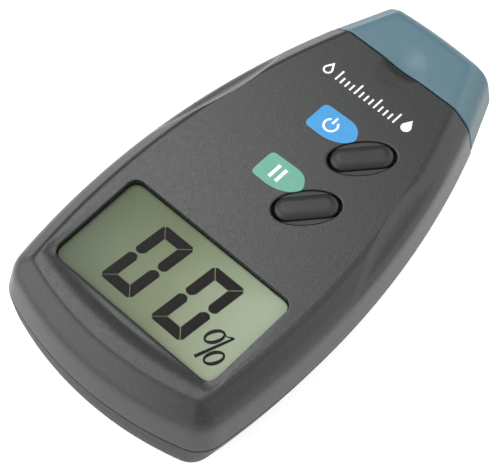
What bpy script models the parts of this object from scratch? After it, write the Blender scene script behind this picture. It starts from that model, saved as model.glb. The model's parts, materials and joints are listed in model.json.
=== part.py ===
"""Handheld four-pin moisture meter, modelled as the pieces it comes apart into.

The meter lies on its flat back with the display up. X is its width, Y its length with the
pins and their cap towards +Y, and Z its thickness. The origin is on the resting surface,
under the middle of the case. Lengths below are in millimetres, and "depth" is measured
down from the flat front face.
"""
import math

import bmesh
import bpy
from mathutils import Matrix, Vector

MM = 0.001
GAP = 0.3                     # clearance between pieces that touch
RESTING = 0.05                # clearance under a piece that is soldered to the board

# Overall size of the case
LENGTH = 123.0                # lower end of the case to the end of the cap
WIDTH = 70.0                  # widest place, on the parting line
THICKNESS = 28.0              # front face to back face
PARTING = 11.6                # depth of the joint between the two shells
WALL = 2.2

# Outline: two long side arcs, a shallow end arc and rounded lower corners
SIDE_RADIUS = 195.0
WAIST_Y = -20.5               # where the case is widest
END_RADIUS = 86.0
CORNER_RADIUS = 8.0
SMALLEST_CORNER = 1.8
SEAM_Y = 46.0                 # joint between the shells and the cap
SEAM_GAP = 0.4
CAP_TAPER = 0.43              # sideways run of the cap's sides per unit of length
CAP_END_RADIUS = 150.0
CAP_CORNER = 4.2
BACK_LIFT_START = 16.0        # the back is flat below this Y and curves up beyond it
BACK_LIFT = 6.0               # how far the back has risen at the end of the cap

# Section of the case: (depth, inset of the sides, inset of the lower end)
FRONT_SECTION = ((0.0, 7.3, 7.6), (0.2, 6.7, 7.0), (3.2, 3.0, 3.2), (4.1, 2.2, 2.3),
                 (5.3, 1.75, 1.75), (PARTING - GAP / 2, 0.0, 0.0))
REAR_SECTION = ((PARTING + GAP / 2, 0.0, 0.0), (17.0, 1.85, 0.35), (20.8, 3.15, 1.1),
                (24.1, 4.6, 3.0), (26.5, 6.5, 5.9), (27.6, 8.5, 8.6), (28.0, 10.8, 11.4))
FRONT_CAVITY = ((2.0, 8.2, 8.4), (5.2, 4.3, 4.4), (9.9, 2.75, 2.75), (9.95, 1.0, 1.0),
                (PARTING + 2.0, 1.0, 1.0))
REAR_CAVITY = ((PARTING - 3.0, WALL, WALL), (PARTING + GAP, WALL, WALL), (17.0, 4.0, 2.6),
               (20.5, 5.3, 3.3), (23.5, 6.9, 5.2), (25.3, 8.6, 7.8), (26.0, 11.5, 12.5))
TONGUE_TOP = 10.3             # the rear shell's lip reaches up inside the front shell
TONGUE_INSET = 1.3
STEP_SLOPE = 0.05             # a step in a section falls by this much, so it has real faces
BELOW_BACK = THICKNESS + 2.0  # depth at which cutters start behind the back face

# Section of the cap: (depth, inset of the sides, inset of the far end)
CAP_SECTION = ((0.0, 7.3, 2.4), (0.2, 6.7, 1.6), (0.9, 5.84, 0.7), (2.2, 4.23, 0.15),
               (3.2, 3.0, 0.0), (4.1, 2.2, 0.0), (5.3, 1.75, 0.0), (PARTING, 0.0, 0.0),
               (17.0, 1.85, 0.2), (20.8, 3.15, 0.8), (24.1, 4.6, 2.0), (26.5, 6.5, 3.6),
               (27.6, 8.5, 5.2), (28.0, 10.8, 7.0))
CAP_CAVITY = ((2.0, 8.2, 3.0), (5.2, 4.3, 1.8), (PARTING, WALL, 1.8), (17.0, 4.0, 2.0),
              (20.5, 5.3, 2.6), (23.5, 6.9, 3.8), (25.3, 8.6, 5.6), (26.0, 11.5, 8.0))
SCOOP_SIZE = (10.0, 12.6, 6.0)      # half axes of the ball that hollows the thumb scoop
SCOOP_BITE = 0.8

# Probe head, which fills the mouth of the shells and carries the pins
HEAD_BACK_Y = 38.0
HEAD_FACE_Y = 51.2
HEAD_BACK_HALF = 23.3
HEAD_FACE_HALF = 18.0
HEAD_SECTION = ((2.35, 6.4), (5.4, 2.2), (PARTING, 0.1), (17.0, 2.0), (20.5, 3.4),
                (23.4, 5.2), (25.3, 7.4))
PIN_COUNT = 4
PIN_PITCH = 7.0
PIN_RADIUS = 1.0
PIN_Z = 16.0
PIN_TIP_Y = 59.3
PIN_CONE = 4.5
PIN_TAIL_Y = 35.6
NUT_ACROSS = 4.0
NUT_HEIGHT = 1.8

# Display window and the shallow dish below it
WINDOW_Y = -32.2
WINDOW_SIZE = (49.3, 27.1)
WINDOW_CORNER = 2.6
LENS_DEPTHS = (1.1, 1.5)      # the lens is glued into the window opening
DISH_RIM_Y = -18.7            # lowest point of the dish, from the middle of the window
DISH_RADIUS = 100.0
DISH_HALF_WIDTH = 25.4
DISH_SLOPE = 0.21
DISH_RUN = 9.0                # how far the dish's slope is cut, measured from its rim
LCD_SIZE = (50.0, 29.0)
LCD_DEPTHS = (3.3, 5.4)
LCD_FRONT_DEPTH = 1.55        # the panel's front glass stands in the window opening
LCD_MASK = 1.0                # border of the display frame around the panel
BOARD_DEPTHS = (6.9, 8.1)
BOARD_SPAN = (-48.1, 28.0)    # Y range of the circuit board
BOARD_INSET = 6.2             # from the side of the case to the board's edge

# Keys: two slanted capsules, each in an oval opening
KEY_PLACES = {"power": (10.05, 20.6), "hold": (9.7, 1.9)}
KEY_ANGLE = math.radians(49.0)
OVAL_SIZE = (16.4, 9.2)
OVAL_POWER = 2.15             # 2 is an ellipse; more is fuller
KEY_SIZE = (14.9, 6.2)
KEY_SKIRT = (17.0, 8.4)
KEY_SKIRT_DEPTHS = (3.9, 4.7)
KEY_FOOT_DEPTH = 5.1
KEY_FOOT_INSET = 1.2
KEY_CROWN = ((-0.4, 0.0), (0.25, 0.25), (0.7, 0.7), (0.98, 1.4), (1.1, 2.3))  # (height, inset)
MEMBRANE_DEPTHS = (2.3, 3.5)
MEMBRANE_SIZE = (15.2, 35.2)
COLLAR_DEPTH = 0.3            # crescents of the membrane fill the oval openings up to here
KEY_END_ROOM = 0.9            # extra length of the hole around a key
MEMBRANE_CENTRE = (9.9, 11.2)
SWITCH_SIZE = 6.0
SWITCH_TOP_DEPTH = 5.9        # leaves the travel of the key above the switch body
STEM_RADIUS = 1.5
STEM_DEPTHS = (5.2, 6.02)

# Battery, its bay and its door
BATTERY_SIZE = (26.2, 46.0, 17.0)
BATTERY_END_Y = -50.6
BATTERY_TOP_DEPTH = 8.5
TERMINAL_X = 6.35
TERMINAL_RADIUS = 2.9
TERMINAL_HEIGHT = 2.2
CLIP_SIZE = (23.0, 2.4, 10.0)
LEAD_RADIUS = 0.6
PIN_LEAD_RADIUS = 0.55
DOOR_HALF_WIDTH = 15.2
DOOR_TOP_Y = 4.0
DOOR_DEPTH = 20.6             # the door wraps the lower end down from this depth
BAY_RIB = 1.2
BAY_RIM_DEPTH = 14.5          # how near the front the walls of the battery bay reach
GRIP_GROOVES = 5              # grooves for the thumb on the door
GRIP_GROOVE_PITCH = 2.2

# Fasteners
CASE_SCREWS = ((-21.5, -51.8), (21.5, -51.8), (-15.0, 33.0), (15.0, 33.0))
CASE_SCREW_HEAD_DEPTH = 20.3
CASE_POST_RADIUS = 3.6
CASE_BOSS_RADIUS = 3.0
BOARD_BOSS_RADIUS = 2.2
BOARD_SCREWS = ((-25.5, -8.0), (25.5, -8.0), (-20.9, 24.0), (20.9, 24.0))

# Finger scoops: crescents in the bevel along both shoulders
GRIP_MIDDLE_Y = 15.5          # where they are widest
GRIP_REACH = (24.5, 17.0)     # length below and above the widest place
GRIP_FULLNESS = (1.2, 0.8)    # the lower end is drawn out, the upper end is blunt
GRIP_INSETS = (2.2, 7.35)     # outer edge, and the inner edge at the widest place
GRIP_HOLLOW = 0.09            # depth of a scoop as a share of its width
BEVEL_NORMAL = (0.63, 0.777)  # outward and up

END_STEPS = 6
CORNER_STEPS = 4
SIDE_STEPS = 11


# ---------------------------------------------------------------- materials

def linear(channel):
    """Linear value of a display colour channel given from 0 to 255."""
    value = channel / 255.0
    if value <= 0.04045:
        return value / 12.92
    return ((value + 0.055) / 1.055) ** 2.4


def material(name, colour, roughness, metallic=0.0, transmission=0.0):
    made = bpy.data.materials.get(name)
    if made:
        return made
    made = bpy.data.materials.new(name)
    made.use_nodes = True
    shader = made.node_tree.nodes["Principled BSDF"]
    shader.inputs["Base Color"].default_value = [linear(c) for c in colour] + [1.0]
    shader.inputs["Roughness"].default_value = roughness
    shader.inputs["Metallic"].default_value = metallic
    shader.inputs["Transmission Weight"].default_value = transmission
    return made


def case_grey():
    return material("case_grey_plastic", (100, 101, 100), 0.55)


def cap_blue():
    return material("cap_blue_grey_plastic", (113, 137, 144), 0.45)


def black_rubber():
    return material("black_rubber", (40, 40, 41), 0.45)


def black_plastic():
    return material("black_plastic", (34, 34, 35), 0.5)


def steel():
    return material("steel", (178, 178, 174), 0.25, 1.0)


def brass():
    return material("brass", (190, 158, 90), 0.3, 1.0)


def clear_plastic():
    return material("clear_plastic", (235, 240, 235), 0.08, 0.0, 0.9)


def lcd_glass():
    return material("lcd_glass", (150, 164, 130), 0.25)


def board_green():
    return material("board_green", (32, 84, 52), 0.45)


# ---------------------------------------------------------------- mesh helpers

def depth_z(depth, y=-LENGTH):
    """Height of a depth below the front face; behind the parting the back lifts with Y."""
    if depth <= PARTING:
        return THICKNESS - depth
    along = max(0.0, (y - BACK_LIFT_START) / (LENGTH / 2 - BACK_LIFT_START))
    shrink = 1.0 - BACK_LIFT * along * along / (THICKNESS - PARTING)
    return THICKNESS - PARTING - (depth - PARTING) * shrink


def finish_mesh(name, bm, surface, smooth=True):
    """Turn a bmesh in millimetres into a named object in metres."""
    bmesh.ops.recalc_face_normals(bm, faces=bm.faces)
    bmesh.ops.scale(bm, vec=(MM, MM, MM), verts=bm.verts)
    mesh = bpy.data.meshes.new(name)
    bm.to_mesh(mesh)
    bm.free()
    mesh.materials.append(surface)
    if smooth:
        mesh.shade_smooth()
        mesh.set_sharp_from_angle(angle=math.radians(32))
    made = bpy.data.objects.new(name, mesh)
    bpy.context.scene.collection.objects.link(made)
    return made


def skin_rings(bm, rings):
    """Join closed rings of equal length with quads; returns the rings' vertices."""
    made = [[bm.verts.new(point) for point in ring] for ring in rings]
    count = len(rings[0])
    for low, high in zip(made, made[1:]):
        for i in range(count):
            j = (i + 1) % count
            bm.faces.new((low[i], low[j], high[j], high[i]))
    return made


def prism(name, points, low, high, surface=None):
    """Flat outline extruded from one height to another."""
    bm = bmesh.new()
    rings = [[(x, y, z) for x, y in points] for z in (low, high)]
    made = skin_rings(bm, rings)
    bm.faces.new(made[0])
    bm.faces.new(made[-1])
    return finish_mesh(name, bm, surface or black_plastic())


def loft(name, rings, surface=None):
    """Closed solid through rings whose two ends are flat."""
    bm = bmesh.new()
    made = skin_rings(bm, rings)
    bm.faces.new(made[0])
    bm.faces.new(made[-1])
    return finish_mesh(name, bm, surface or black_plastic())


def ladder_cap(bm, ring, half):
    """Close a ring that is symmetric about X=0 with cross strips, so it may curve in Y."""
    right = ring[:half]
    left = [ring[0] if abs(ring[0].co.x) < 1e-6 else ring[-1]]
    others = list(reversed(ring[half:]))
    left += others if left[0] is ring[0] else others[1:]
    if abs(right[-1].co.x) < 1e-6:
        left.append(right[-1])
    for i in range(half - 1):
        corners = []
        for vert in (right[i], right[i + 1], left[i + 1], left[i]):
            if vert not in corners:
                corners.append(vert)
        bm.faces.new(corners)


def symmetric_loft(name, halves, surface=None):
    """Closed solid through (right half outline, depth) pairs, each mirrored about X=0."""
    bm = bmesh.new()
    rings = []
    for points, depth in halves:
        mirrored = [(-x, y) for x, y in reversed(points) if abs(x) > 1e-6]
        whole = list(points) + mirrored
        rings.append([(x, y, depth_z(depth, y)) for x, y in whole])
    made = skin_rings(bm, rings)
    half = len(halves[0][0])
    ladder_cap(bm, made[0], half)
    ladder_cap(bm, made[-1], half)
    return finish_mesh(name, bm, surface or black_plastic())


def lathe(name, profile, surface, place, axis=(0, 0, 1), steps=16):
    """Turn (radius, height) points about an axis through a place; ends on the axis."""
    bm = bmesh.new()
    rings = []
    for radius, height in profile:
        ring = []
        for i in range(steps):
            turn = math.tau * i / steps
            ring.append((radius * math.cos(turn), radius * math.sin(turn), height))
        rings.append(ring)
    made = skin_rings(bm, rings)
    bm.faces.new(made[0])
    bm.faces.new(made[-1])
    turned = Vector((0, 0, 1)).rotation_difference(Vector(axis)).to_matrix().to_4x4()
    bmesh.ops.transform(bm, matrix=Matrix.Translation(place) @ turned, verts=bm.verts)
    return finish_mesh(name, bm, surface)


def rod(name, radius, start, end, surface=None, steps=12):
    """Plain round bar between two points."""
    run = Vector(end) - Vector(start)
    return lathe(name, ((radius, 0.0), (radius, run.length)), surface or black_plastic(),
                 start, run, steps)


def upright(name, radius, place, low_depth, high_depth, surface=None):
    """Round bar along Z at an (x, y) place, between two depths."""
    x, y = place
    return rod(name, radius, (x, y, depth_z(low_depth)), (x, y, depth_z(high_depth)), surface)


def block(name, low, high, surface=None, bevel=0.0):
    """Rectangular solid between two corners, with its edges eased."""
    points = ((low[0], low[1]), (high[0], low[1]), (high[0], high[1]), (low[0], high[1]))
    made = prism(name, points, low[2], high[2], surface)
    if bevel:
        ease = made.modifiers.new("eased_edges", "BEVEL")
        ease.width = bevel * MM
        ease.segments = 2
    return made


def boolean(target, tool, operation="DIFFERENCE"):
    """Add an exact Boolean and hide the tool that it uses."""
    step = target.modifiers.new(tool.name, "BOOLEAN")
    step.operation = operation
    step.solver = "EXACT"
    step.object = tool
    tool.hide_render = True
    tool.display_type = "WIRE"


def tube(name, points, radius, surface):
    """Insulated wire along a smooth curve through the points."""
    curve = bpy.data.curves.new(name, "CURVE")
    curve.dimensions = "3D"
    curve.bevel_depth = radius * MM
    curve.bevel_resolution = 2
    curve.use_fill_caps = True
    line = curve.splines.new("POLY")
    path = smooth_path([Vector(p) for p in points], 3)
    line.points.add(len(path) - 1)
    for spot, point in zip(line.points, path):
        spot.co = (point.x * MM, point.y * MM, point.z * MM, 1.0)
    curve.materials.append(surface)
    made = bpy.data.objects.new(name, curve)
    bpy.context.scene.collection.objects.link(made)
    return made


def smooth_path(points, steps):
    """Catmull-Rom curve through the points."""
    padded = [2 * points[0] - points[1]] + points + [2 * points[-1] - points[-2]]
    path = [points[0]]
    for a, b, c, d in zip(padded, padded[1:], padded[2:], padded[3:]):
        for i in range(1, steps + 1):
            t = i / steps
            path.append(0.5 * (2 * b + (c - a) * t + (2 * a - 5 * b + 4 * c - d) * t ** 2
                               + (3 * b - a - 3 * c + d) * t ** 3))
    return path


# ---------------------------------------------------------------- outlines

def arc(centre, radius, start, end, steps):
    """Points on an arc, both ends included."""
    turns = [start + (end - start) * i / steps for i in range(steps + 1)]
    return [(centre[0] + radius * math.cos(t), centre[1] + radius * math.sin(t))
            for t in turns]


def direction(origin, point):
    return math.atan2(point[1] - origin[1], point[0] - origin[0])


def case_half(side_inset, end_inset, top_y):
    """Right half of the case outline, from the middle of the lower end up to top_y."""
    corner = max(SMALLEST_CORNER, CORNER_RADIUS - (side_inset + end_inset) / 2)
    side_radius = SIDE_RADIUS - side_inset
    end_radius = END_RADIUS - end_inset
    side_centre = Vector((WIDTH / 2 - SIDE_RADIUS, WAIST_Y))
    end_centre = Vector((0.0, END_RADIUS - LENGTH / 2))
    # The corner's centre lies a corner radius inside both arcs.
    to_side = side_radius - corner
    to_end = end_radius - corner
    span = end_centre - side_centre
    apart = span.length
    along = (to_side ** 2 - to_end ** 2 + apart ** 2) / (2 * apart)
    across = math.sqrt(to_side ** 2 - along ** 2)
    unit = span.normalized()
    centre = side_centre + unit * along + Vector((unit.y, -unit.x)) * across
    end_turn = direction(end_centre, centre)
    side_turn = direction(side_centre, centre)
    points = arc(end_centre, end_radius, -math.pi / 2, end_turn, END_STEPS)
    points += arc(centre, corner, end_turn, side_turn, CORNER_STEPS)[1:]
    last_turn = math.asin((top_y - WAIST_Y) / side_radius)
    points += arc(side_centre, side_radius, side_turn, last_turn, SIDE_STEPS)[1:]
    return points


def case_half_width(y, inset=0.0):
    """Distance from the middle to the side of the case at one Y."""
    radius = SIDE_RADIUS - inset
    return WIDTH / 2 - SIDE_RADIUS + math.sqrt(radius ** 2 - (y - WAIST_Y) ** 2)


def cap_half(side_inset, end_inset, base_y):
    """Right half of the cap outline, from its open edge to the middle of its end."""
    corner = max(SMALLEST_CORNER, CAP_CORNER - 0.3 * (side_inset + end_inset))
    start = Vector((case_half_width(SEAM_Y, side_inset), SEAM_Y))
    run = Vector((-CAP_TAPER, 1.0)).normalized()
    inward = Vector((-1.0, -CAP_TAPER)).normalized()
    end_radius = CAP_END_RADIUS - end_inset
    end_centre = Vector((0.0, LENGTH / 2 - CAP_END_RADIUS))
    offset = start + inward * corner - end_centre
    half_b = offset.dot(run)
    reach = -half_b + math.sqrt(half_b ** 2 - offset.length_squared
                                + (end_radius - corner) ** 2)
    centre = start + inward * corner + run * reach
    side_turn = direction(centre, centre - inward)
    end_turn = direction(end_centre, centre)
    base = start + run * ((base_y - SEAM_Y) / run.y)
    points = [tuple(base)]
    points += arc(centre, corner, side_turn, end_turn, CORNER_STEPS)
    points += arc(end_centre, end_radius, end_turn, math.pi / 2, 5)[1:]
    points[-1] = (0.0, points[-1][1])
    return points


def head_half(inset, back_y, face_y):
    """Right half of the probe head outline."""
    slope = (HEAD_BACK_HALF - HEAD_FACE_HALF) / (HEAD_FACE_Y - HEAD_BACK_Y)

    def half(y):
        return HEAD_BACK_HALF - inset - slope * (y - HEAD_BACK_Y)
    ease = 1.2
    return [(half(back_y), back_y), (half(SEAM_Y), SEAM_Y), (half(face_y - ease), face_y - ease),
            (half(face_y) - ease, face_y)]


def rounded_rectangle(size, corner, centre=(0.0, 0.0), steps=4):
    half_x = size[0] / 2 - corner
    half_y = size[1] / 2 - corner
    points = []
    for quarter, (sx, sy) in enumerate(((1, 1), (-1, 1), (-1, -1), (1, -1))):
        start = quarter * math.pi / 2
        spot = (centre[0] + sx * half_x, centre[1] + sy * half_y)
        points += arc(spot, corner, start, start + math.pi / 2, steps)
    return points


def slanted(points, centre):
    """Turn points by the slant of the keys and move them to a place."""
    cos, sin = math.cos(KEY_ANGLE), math.sin(KEY_ANGLE)
    return [(centre[0] + x * cos - y * sin, centre[1] + x * sin + y * cos) for x, y in points]


def capsule(size, inset, centre):
    """Slanted outline with straight sides and round ends."""
    radius = size[1] / 2 - inset
    reach = (size[0] - size[1]) / 2
    points = arc((reach, 0.0), radius, -math.pi / 2, math.pi / 2, 6)
    points += arc((-reach, 0.0), radius, math.pi / 2, 1.5 * math.pi, 6)
    return slanted(points, centre)


def oval(size, centre, steps=28):
    """Slanted oval, a little fuller than an ellipse."""
    points = []
    for i in range(steps):
        turn = math.tau * i / steps
        cos, sin = math.cos(turn), math.sin(turn)
        fullness = (abs(cos) ** OVAL_POWER + abs(sin) ** OVAL_POWER) ** (-1 / OVAL_POWER)
        points.append((size[0] / 2 * cos * fullness, size[1] / 2 * sin * fullness))
    return slanted(points, centre)


# ---------------------------------------------------------------- shells

def dish_tool():
    """Shallow cone-shaped sink below the window: deepest at the window, gone at its rim."""
    centre_y = WINDOW_Y + DISH_RIM_Y + DISH_RADIUS
    inner = DISH_RADIUS - DISH_RUN
    swing = math.asin(DISH_HALF_WIDTH / DISH_RADIUS)
    steps = 12
    bm = bmesh.new()
    rings = []
    outer_lift = 1.0
    outer = DISH_RADIUS + outer_lift / DISH_SLOPE
    for radius, z in ((inner, THICKNESS - DISH_RUN * DISH_SLOPE), (inner, THICKNESS + 2.0),
                      (outer, THICKNESS + 2.0), (outer, THICKNESS + outer_lift)):
        turns = [-math.pi / 2 - swing + 2 * swing * i / steps for i in range(steps + 1)]
        rings.append([(radius * math.cos(t), centre_y + radius * math.sin(t), z)
                      for t in turns])
    made = [[bm.verts.new(p) for p in ring] for ring in rings]
    for a, b in zip(made, made[1:] + made[:1]):
        for i in range(steps):
            bm.faces.new((a[i], a[i + 1], b[i + 1], b[i]))
    bm.faces.new([ring[0] for ring in made])
    bm.faces.new([ring[-1] for ring in made])
    return finish_mesh("tool_dish", bm, black_plastic())


def bevel_depth(inset):
    """Depth of the front shell's surface at an inset from its side."""
    for (low, near, _), (high, far, _) in zip(FRONT_SECTION, FRONT_SECTION[1:]):
        if far <= inset <= near:
            return low + (high - low) * (near - inset) / (near - far)
    return 0.0


def grip_inner_inset(y):
    """Inset of the inner edge of a finger scoop at one Y."""
    above = 1 if y > GRIP_MIDDLE_Y else 0
    share = abs(y - GRIP_MIDDLE_Y) / GRIP_REACH[above]
    bulge = max(0.0, 1.0 - share * share) ** GRIP_FULLNESS[above]
    return GRIP_INSETS[0] + (GRIP_INSETS[1] - GRIP_INSETS[0]) * bulge


def grip_tool(side):
    """Crescent that hollows the bevel along one shoulder."""
    stations = 16
    across = (-0.1, 0.0, 0.2, 0.45, 0.7, 0.9, 1.0, 1.1)
    rings = []
    for i in range(stations + 1):
        turn = -math.cos(math.pi * i / stations)
        y = GRIP_MIDDLE_Y + 0.985 * turn * GRIP_REACH[1 if turn > 0 else 0]
        inner = grip_inner_inset(y)
        width = inner - GRIP_INSETS[0]
        slant = width / BEVEL_NORMAL[1]
        ring = []
        for share in across:
            inset = inner - share * width
            cut = 2.6 * GRIP_HOLLOW * slant * share * (1 - share) * (2 - share)
            out = case_half_width(y, inset) - cut * BEVEL_NORMAL[0]
            ring.append((side * out, y, depth_z(bevel_depth(inset)) - cut * BEVEL_NORMAL[1]))
        clear = 2.0
        for x, y, z in (ring[-1], ring[0]):
            ring.append((x + side * clear * BEVEL_NORMAL[0], y, z + clear * BEVEL_NORMAL[1]))
        rings.append(ring)
    return loft("tool_grip_%s" % ("right" if side > 0 else "left"), rings)


def through_front(name, points):
    """Cutter with a flat outline that passes right through the front wall."""
    return prism(name, points, depth_z(4.0), depth_z(-2.0))


def front_shell():
    top_y = SEAM_Y - SEAM_GAP / 2
    shell = symmetric_loft("front_shell", [(case_half(side, end, top_y), depth)
                                           for depth, side, end in FRONT_SECTION], case_grey())
    cavity = symmetric_loft("tool_front_cavity", [(case_half(side, end, SEAM_Y + 6.0), depth)
                                                  for depth, side, end in FRONT_CAVITY])
    # Screw bosses are left standing where the cavity is not cut.
    in_face = 0.5                 # the bosses grow out of the front wall
    board_boss_end = BOARD_DEPTHS[0] - GAP
    for i, place in enumerate(CASE_SCREWS):
        boolean(cavity, upright("tool_case_boss_%d" % i, CASE_BOSS_RADIUS, place, 16.0, in_face))
    for i, place in enumerate(BOARD_SCREWS):
        boolean(cavity, upright("tool_board_boss_%d" % i, BOARD_BOSS_RADIUS, place,
                                board_boss_end, in_face))
    boolean(shell, cavity)
    for i, place in enumerate(CASE_SCREWS):
        boolean(shell, upright("tool_case_pilot_%d" % i, 1.5, place, 16.0, 5.4))
    for i, place in enumerate(BOARD_SCREWS):
        boolean(shell, upright("tool_board_pilot_%d" % i, 1.1, place, 9.0, 3.2))
    window = rounded_rectangle(WINDOW_SIZE, WINDOW_CORNER, (0.0, WINDOW_Y))
    boolean(shell, through_front("tool_window", window))
    boolean(shell, dish_tool())
    for name, place in KEY_PLACES.items():
        boolean(shell, through_front("tool_%s_oval" % name, oval(OVAL_SIZE, place)))
    for side in (-1, 1):
        boolean(shell, grip_tool(side))


def door_outline_box(grow, name):
    """Block that separates the battery door from the rear shell."""
    half = DOOR_HALF_WIDTH + grow
    top = DOOR_TOP_Y + grow
    return block(name, (-half, -LENGTH, depth_z(BELOW_BACK)), (half, top, depth_z(DOOR_DEPTH - grow)))


def rear_solid(name, standing):
    """Rear half of the case; the cavity is not cut where the standing solids are."""
    top_y = SEAM_Y - SEAM_GAP / 2
    tongue = [(case_half(TONGUE_INSET, TONGUE_INSET, top_y), depth)
              for depth in (TONGUE_TOP, REAR_SECTION[0][0] - STEP_SLOPE)]
    sections = tongue + [(case_half(side, end, top_y), depth)
                         for depth, side, end in REAR_SECTION]
    shell = symmetric_loft(name, sections, case_grey())
    cavity = symmetric_loft("tool_cavity_of_" + name,
                            [(case_half(side, end, SEAM_Y + 6.0), depth)
                             for depth, side, end in REAR_CAVITY])
    for solid in standing:
        boolean(cavity, solid)
    boolean(shell, cavity)
    return shell


def rear_standing():
    """Screw posts and the walls of the battery bay."""
    solids = []
    post_end = PARTING + GAP
    for i, place in enumerate(CASE_SCREWS):
        solids.append(upright("tool_case_post_%d" % i, CASE_POST_RADIUS, place,
                              BELOW_BACK, post_end))
    edge = 0.7                    # ledge left around the door opening
    inner = DOOR_HALF_WIDTH + edge
    top = DOOR_TOP_Y + edge
    low, high = depth_z(BELOW_BACK), depth_z(BAY_RIM_DEPTH)
    for side in (-1, 1):
        near = side * inner
        far = side * (inner + BAY_RIB)
        solids.append(block("tool_bay_rib_%d" % (side + 1), (min(near, far), -56.0, low),
                            (max(near, far), top, high)))
    solids.append(block("tool_bay_wall", (-inner - BAY_RIB, top - 0.01, low),
                        (inner + BAY_RIB, top + BAY_RIB, high)))
    return solids


def rear_shell():
    shell = rear_solid("rear_shell", rear_standing())
    boolean(shell, door_outline_box(GAP, "tool_door_opening"))
    for i, place in enumerate(CASE_SCREWS):
        boolean(shell, upright("tool_case_hole_%d" % i, 1.6, place, BELOW_BACK, 8.0))
        boolean(shell, upright("tool_case_sink_%d" % i, 3.0, place, BELOW_BACK,
                               CASE_SCREW_HEAD_DEPTH - GAP))


def battery_door():
    door = rear_solid("battery_door", [])
    boolean(door, door_outline_box(0.0, "tool_door_shape"), "INTERSECT")
    reach, sunk = 6.0, -0.25      # half length of a groove, and its middle below the back
    for i in range(GRIP_GROOVES):
        y = -9.0 - GRIP_GROOVE_PITCH * i
        groove = rod("tool_door_groove_%d" % i, 0.7, (-reach, y, sunk), (reach, y, sunk))
        boolean(door, groove)


def protective_cap():
    base_y = SEAM_Y + SEAM_GAP / 2
    cap = symmetric_loft("protective_cap", [(cap_half(side, end, base_y), depth)
                                            for depth, side, end in CAP_SECTION], cap_blue())
    cavity = symmetric_loft("tool_cap_cavity", [(cap_half(side, end, SEAM_Y - 4.0), depth)
                                                for depth, side, end in CAP_CAVITY])
    boolean(cap, cavity)
    bm = bmesh.new()
    bmesh.ops.create_uvsphere(bm, u_segments=24, v_segments=24, radius=1.0)
    bmesh.ops.scale(bm, vec=SCOOP_SIZE, verts=bm.verts)
    lift = THICKNESS + SCOOP_SIZE[2] - SCOOP_BITE
    bmesh.ops.translate(bm, vec=(0.0, SEAM_Y, lift), verts=bm.verts)
    boolean(cap, finish_mesh("tool_scoop", bm, black_plastic()))


# ---------------------------------------------------------------- probe

def pin_x(i):
    return PIN_PITCH * (i - (PIN_COUNT - 1) / 2)


def probe():
    halves = [(head_half(inset, HEAD_BACK_Y, HEAD_FACE_Y), depth)
              for depth, inset in HEAD_SECTION]
    head = symmetric_loft("probe_head", halves, black_plastic())
    for i in range(PIN_COUNT):
        hole = rod("tool_pin_hole_%d" % i, PIN_RADIUS + GAP, (pin_x(i), HEAD_BACK_Y - 3.0, PIN_Z),
                   (pin_x(i), HEAD_FACE_Y + 3.0, PIN_Z), steps=16)
        boolean(head, hole)
    for i in range(PIN_COUNT):
        length = PIN_TIP_Y - PIN_TAIL_Y
        profile = ((PIN_RADIUS, 0.0), (PIN_RADIUS, length - PIN_CONE),
                   (0.45, length - 0.9), (0.08, length))
        lathe("probe_pin_%d" % (i + 1), profile, steel(), (pin_x(i), PIN_TAIL_Y, PIN_Z),
              (0, 1, 0), 16)
        nut_start = HEAD_FACE_Y + GAP
        radius = NUT_ACROSS / math.sqrt(3)
        hexagon = ((radius, 0.0), (radius, NUT_HEIGHT))
        nut = lathe("pin_nut_%d" % (i + 1), hexagon, brass(), (pin_x(i), nut_start, PIN_Z),
                    (0, 1, 0), 6)
        bore = rod("tool_nut_bore_%d" % i, PIN_RADIUS + GAP, (pin_x(i), nut_start - 2.0, PIN_Z),
                   (pin_x(i), nut_start + NUT_HEIGHT + 2.0, PIN_Z))
        boolean(nut, bore)


# ---------------------------------------------------------------- display

def display():
    face = (WINDOW_SIZE[0] - 2 * GAP, WINDOW_SIZE[1] - 2 * GAP)
    middle = (0.0, WINDOW_Y)
    opening = rounded_rectangle(face, WINDOW_CORNER - GAP, middle)
    prism("display_lens", opening, depth_z(LENS_DEPTHS[1]), depth_z(LENS_DEPTHS[0]), clear_plastic())

    glass = rounded_rectangle(LCD_SIZE, 0.4, middle)
    steps = ((glass, LCD_DEPTHS[1]), (glass, LCD_DEPTHS[0]), (opening, LCD_DEPTHS[0]),
             (opening, LCD_FRONT_DEPTH))
    rings = [[(x, y, depth_z(depth)) for x, y in outline] for outline, depth in steps]
    loft("lcd_panel", rings, lcd_glass())

    def around_lcd(grow, corner):
        size = (LCD_SIZE[0] + 2 * grow, LCD_SIZE[1] + 2 * grow)
        return rounded_rectangle(size, corner, middle)
    frame_low = BOARD_DEPTHS[0] - GAP
    frame = prism("lcd_frame", around_lcd(1.1, 1.2), depth_z(frame_low), depth_z(LCD_DEPTHS[0]),
                  material("white_plastic", (205, 205, 200), 0.5))
    seat = LCD_DEPTHS[1] + GAP
    boolean(frame, prism("tool_lcd_frame_hole", around_lcd(GAP, 0.6), depth_z(seat), depth_z(1.0)))
    boolean(frame, prism("tool_lcd_frame_sight", around_lcd(-LCD_MASK, 0.6), depth_z(9.0),
                         depth_z(1.0)))

    strip = material("zebra_silicone", (150, 90, 100), 0.6)
    half_x, half_y = 22.0, 1.0
    for name, side in (("upper", 1), ("lower", -1)):
        y = WINDOW_Y + side * (LCD_SIZE[1] / 2 - 3.0)
        block("zebra_strip_" + name, (-half_x, y - half_y, depth_z(frame_low)),
              (half_x, y + half_y, depth_z(seat)), strip)


# ---------------------------------------------------------------- keys

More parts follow.
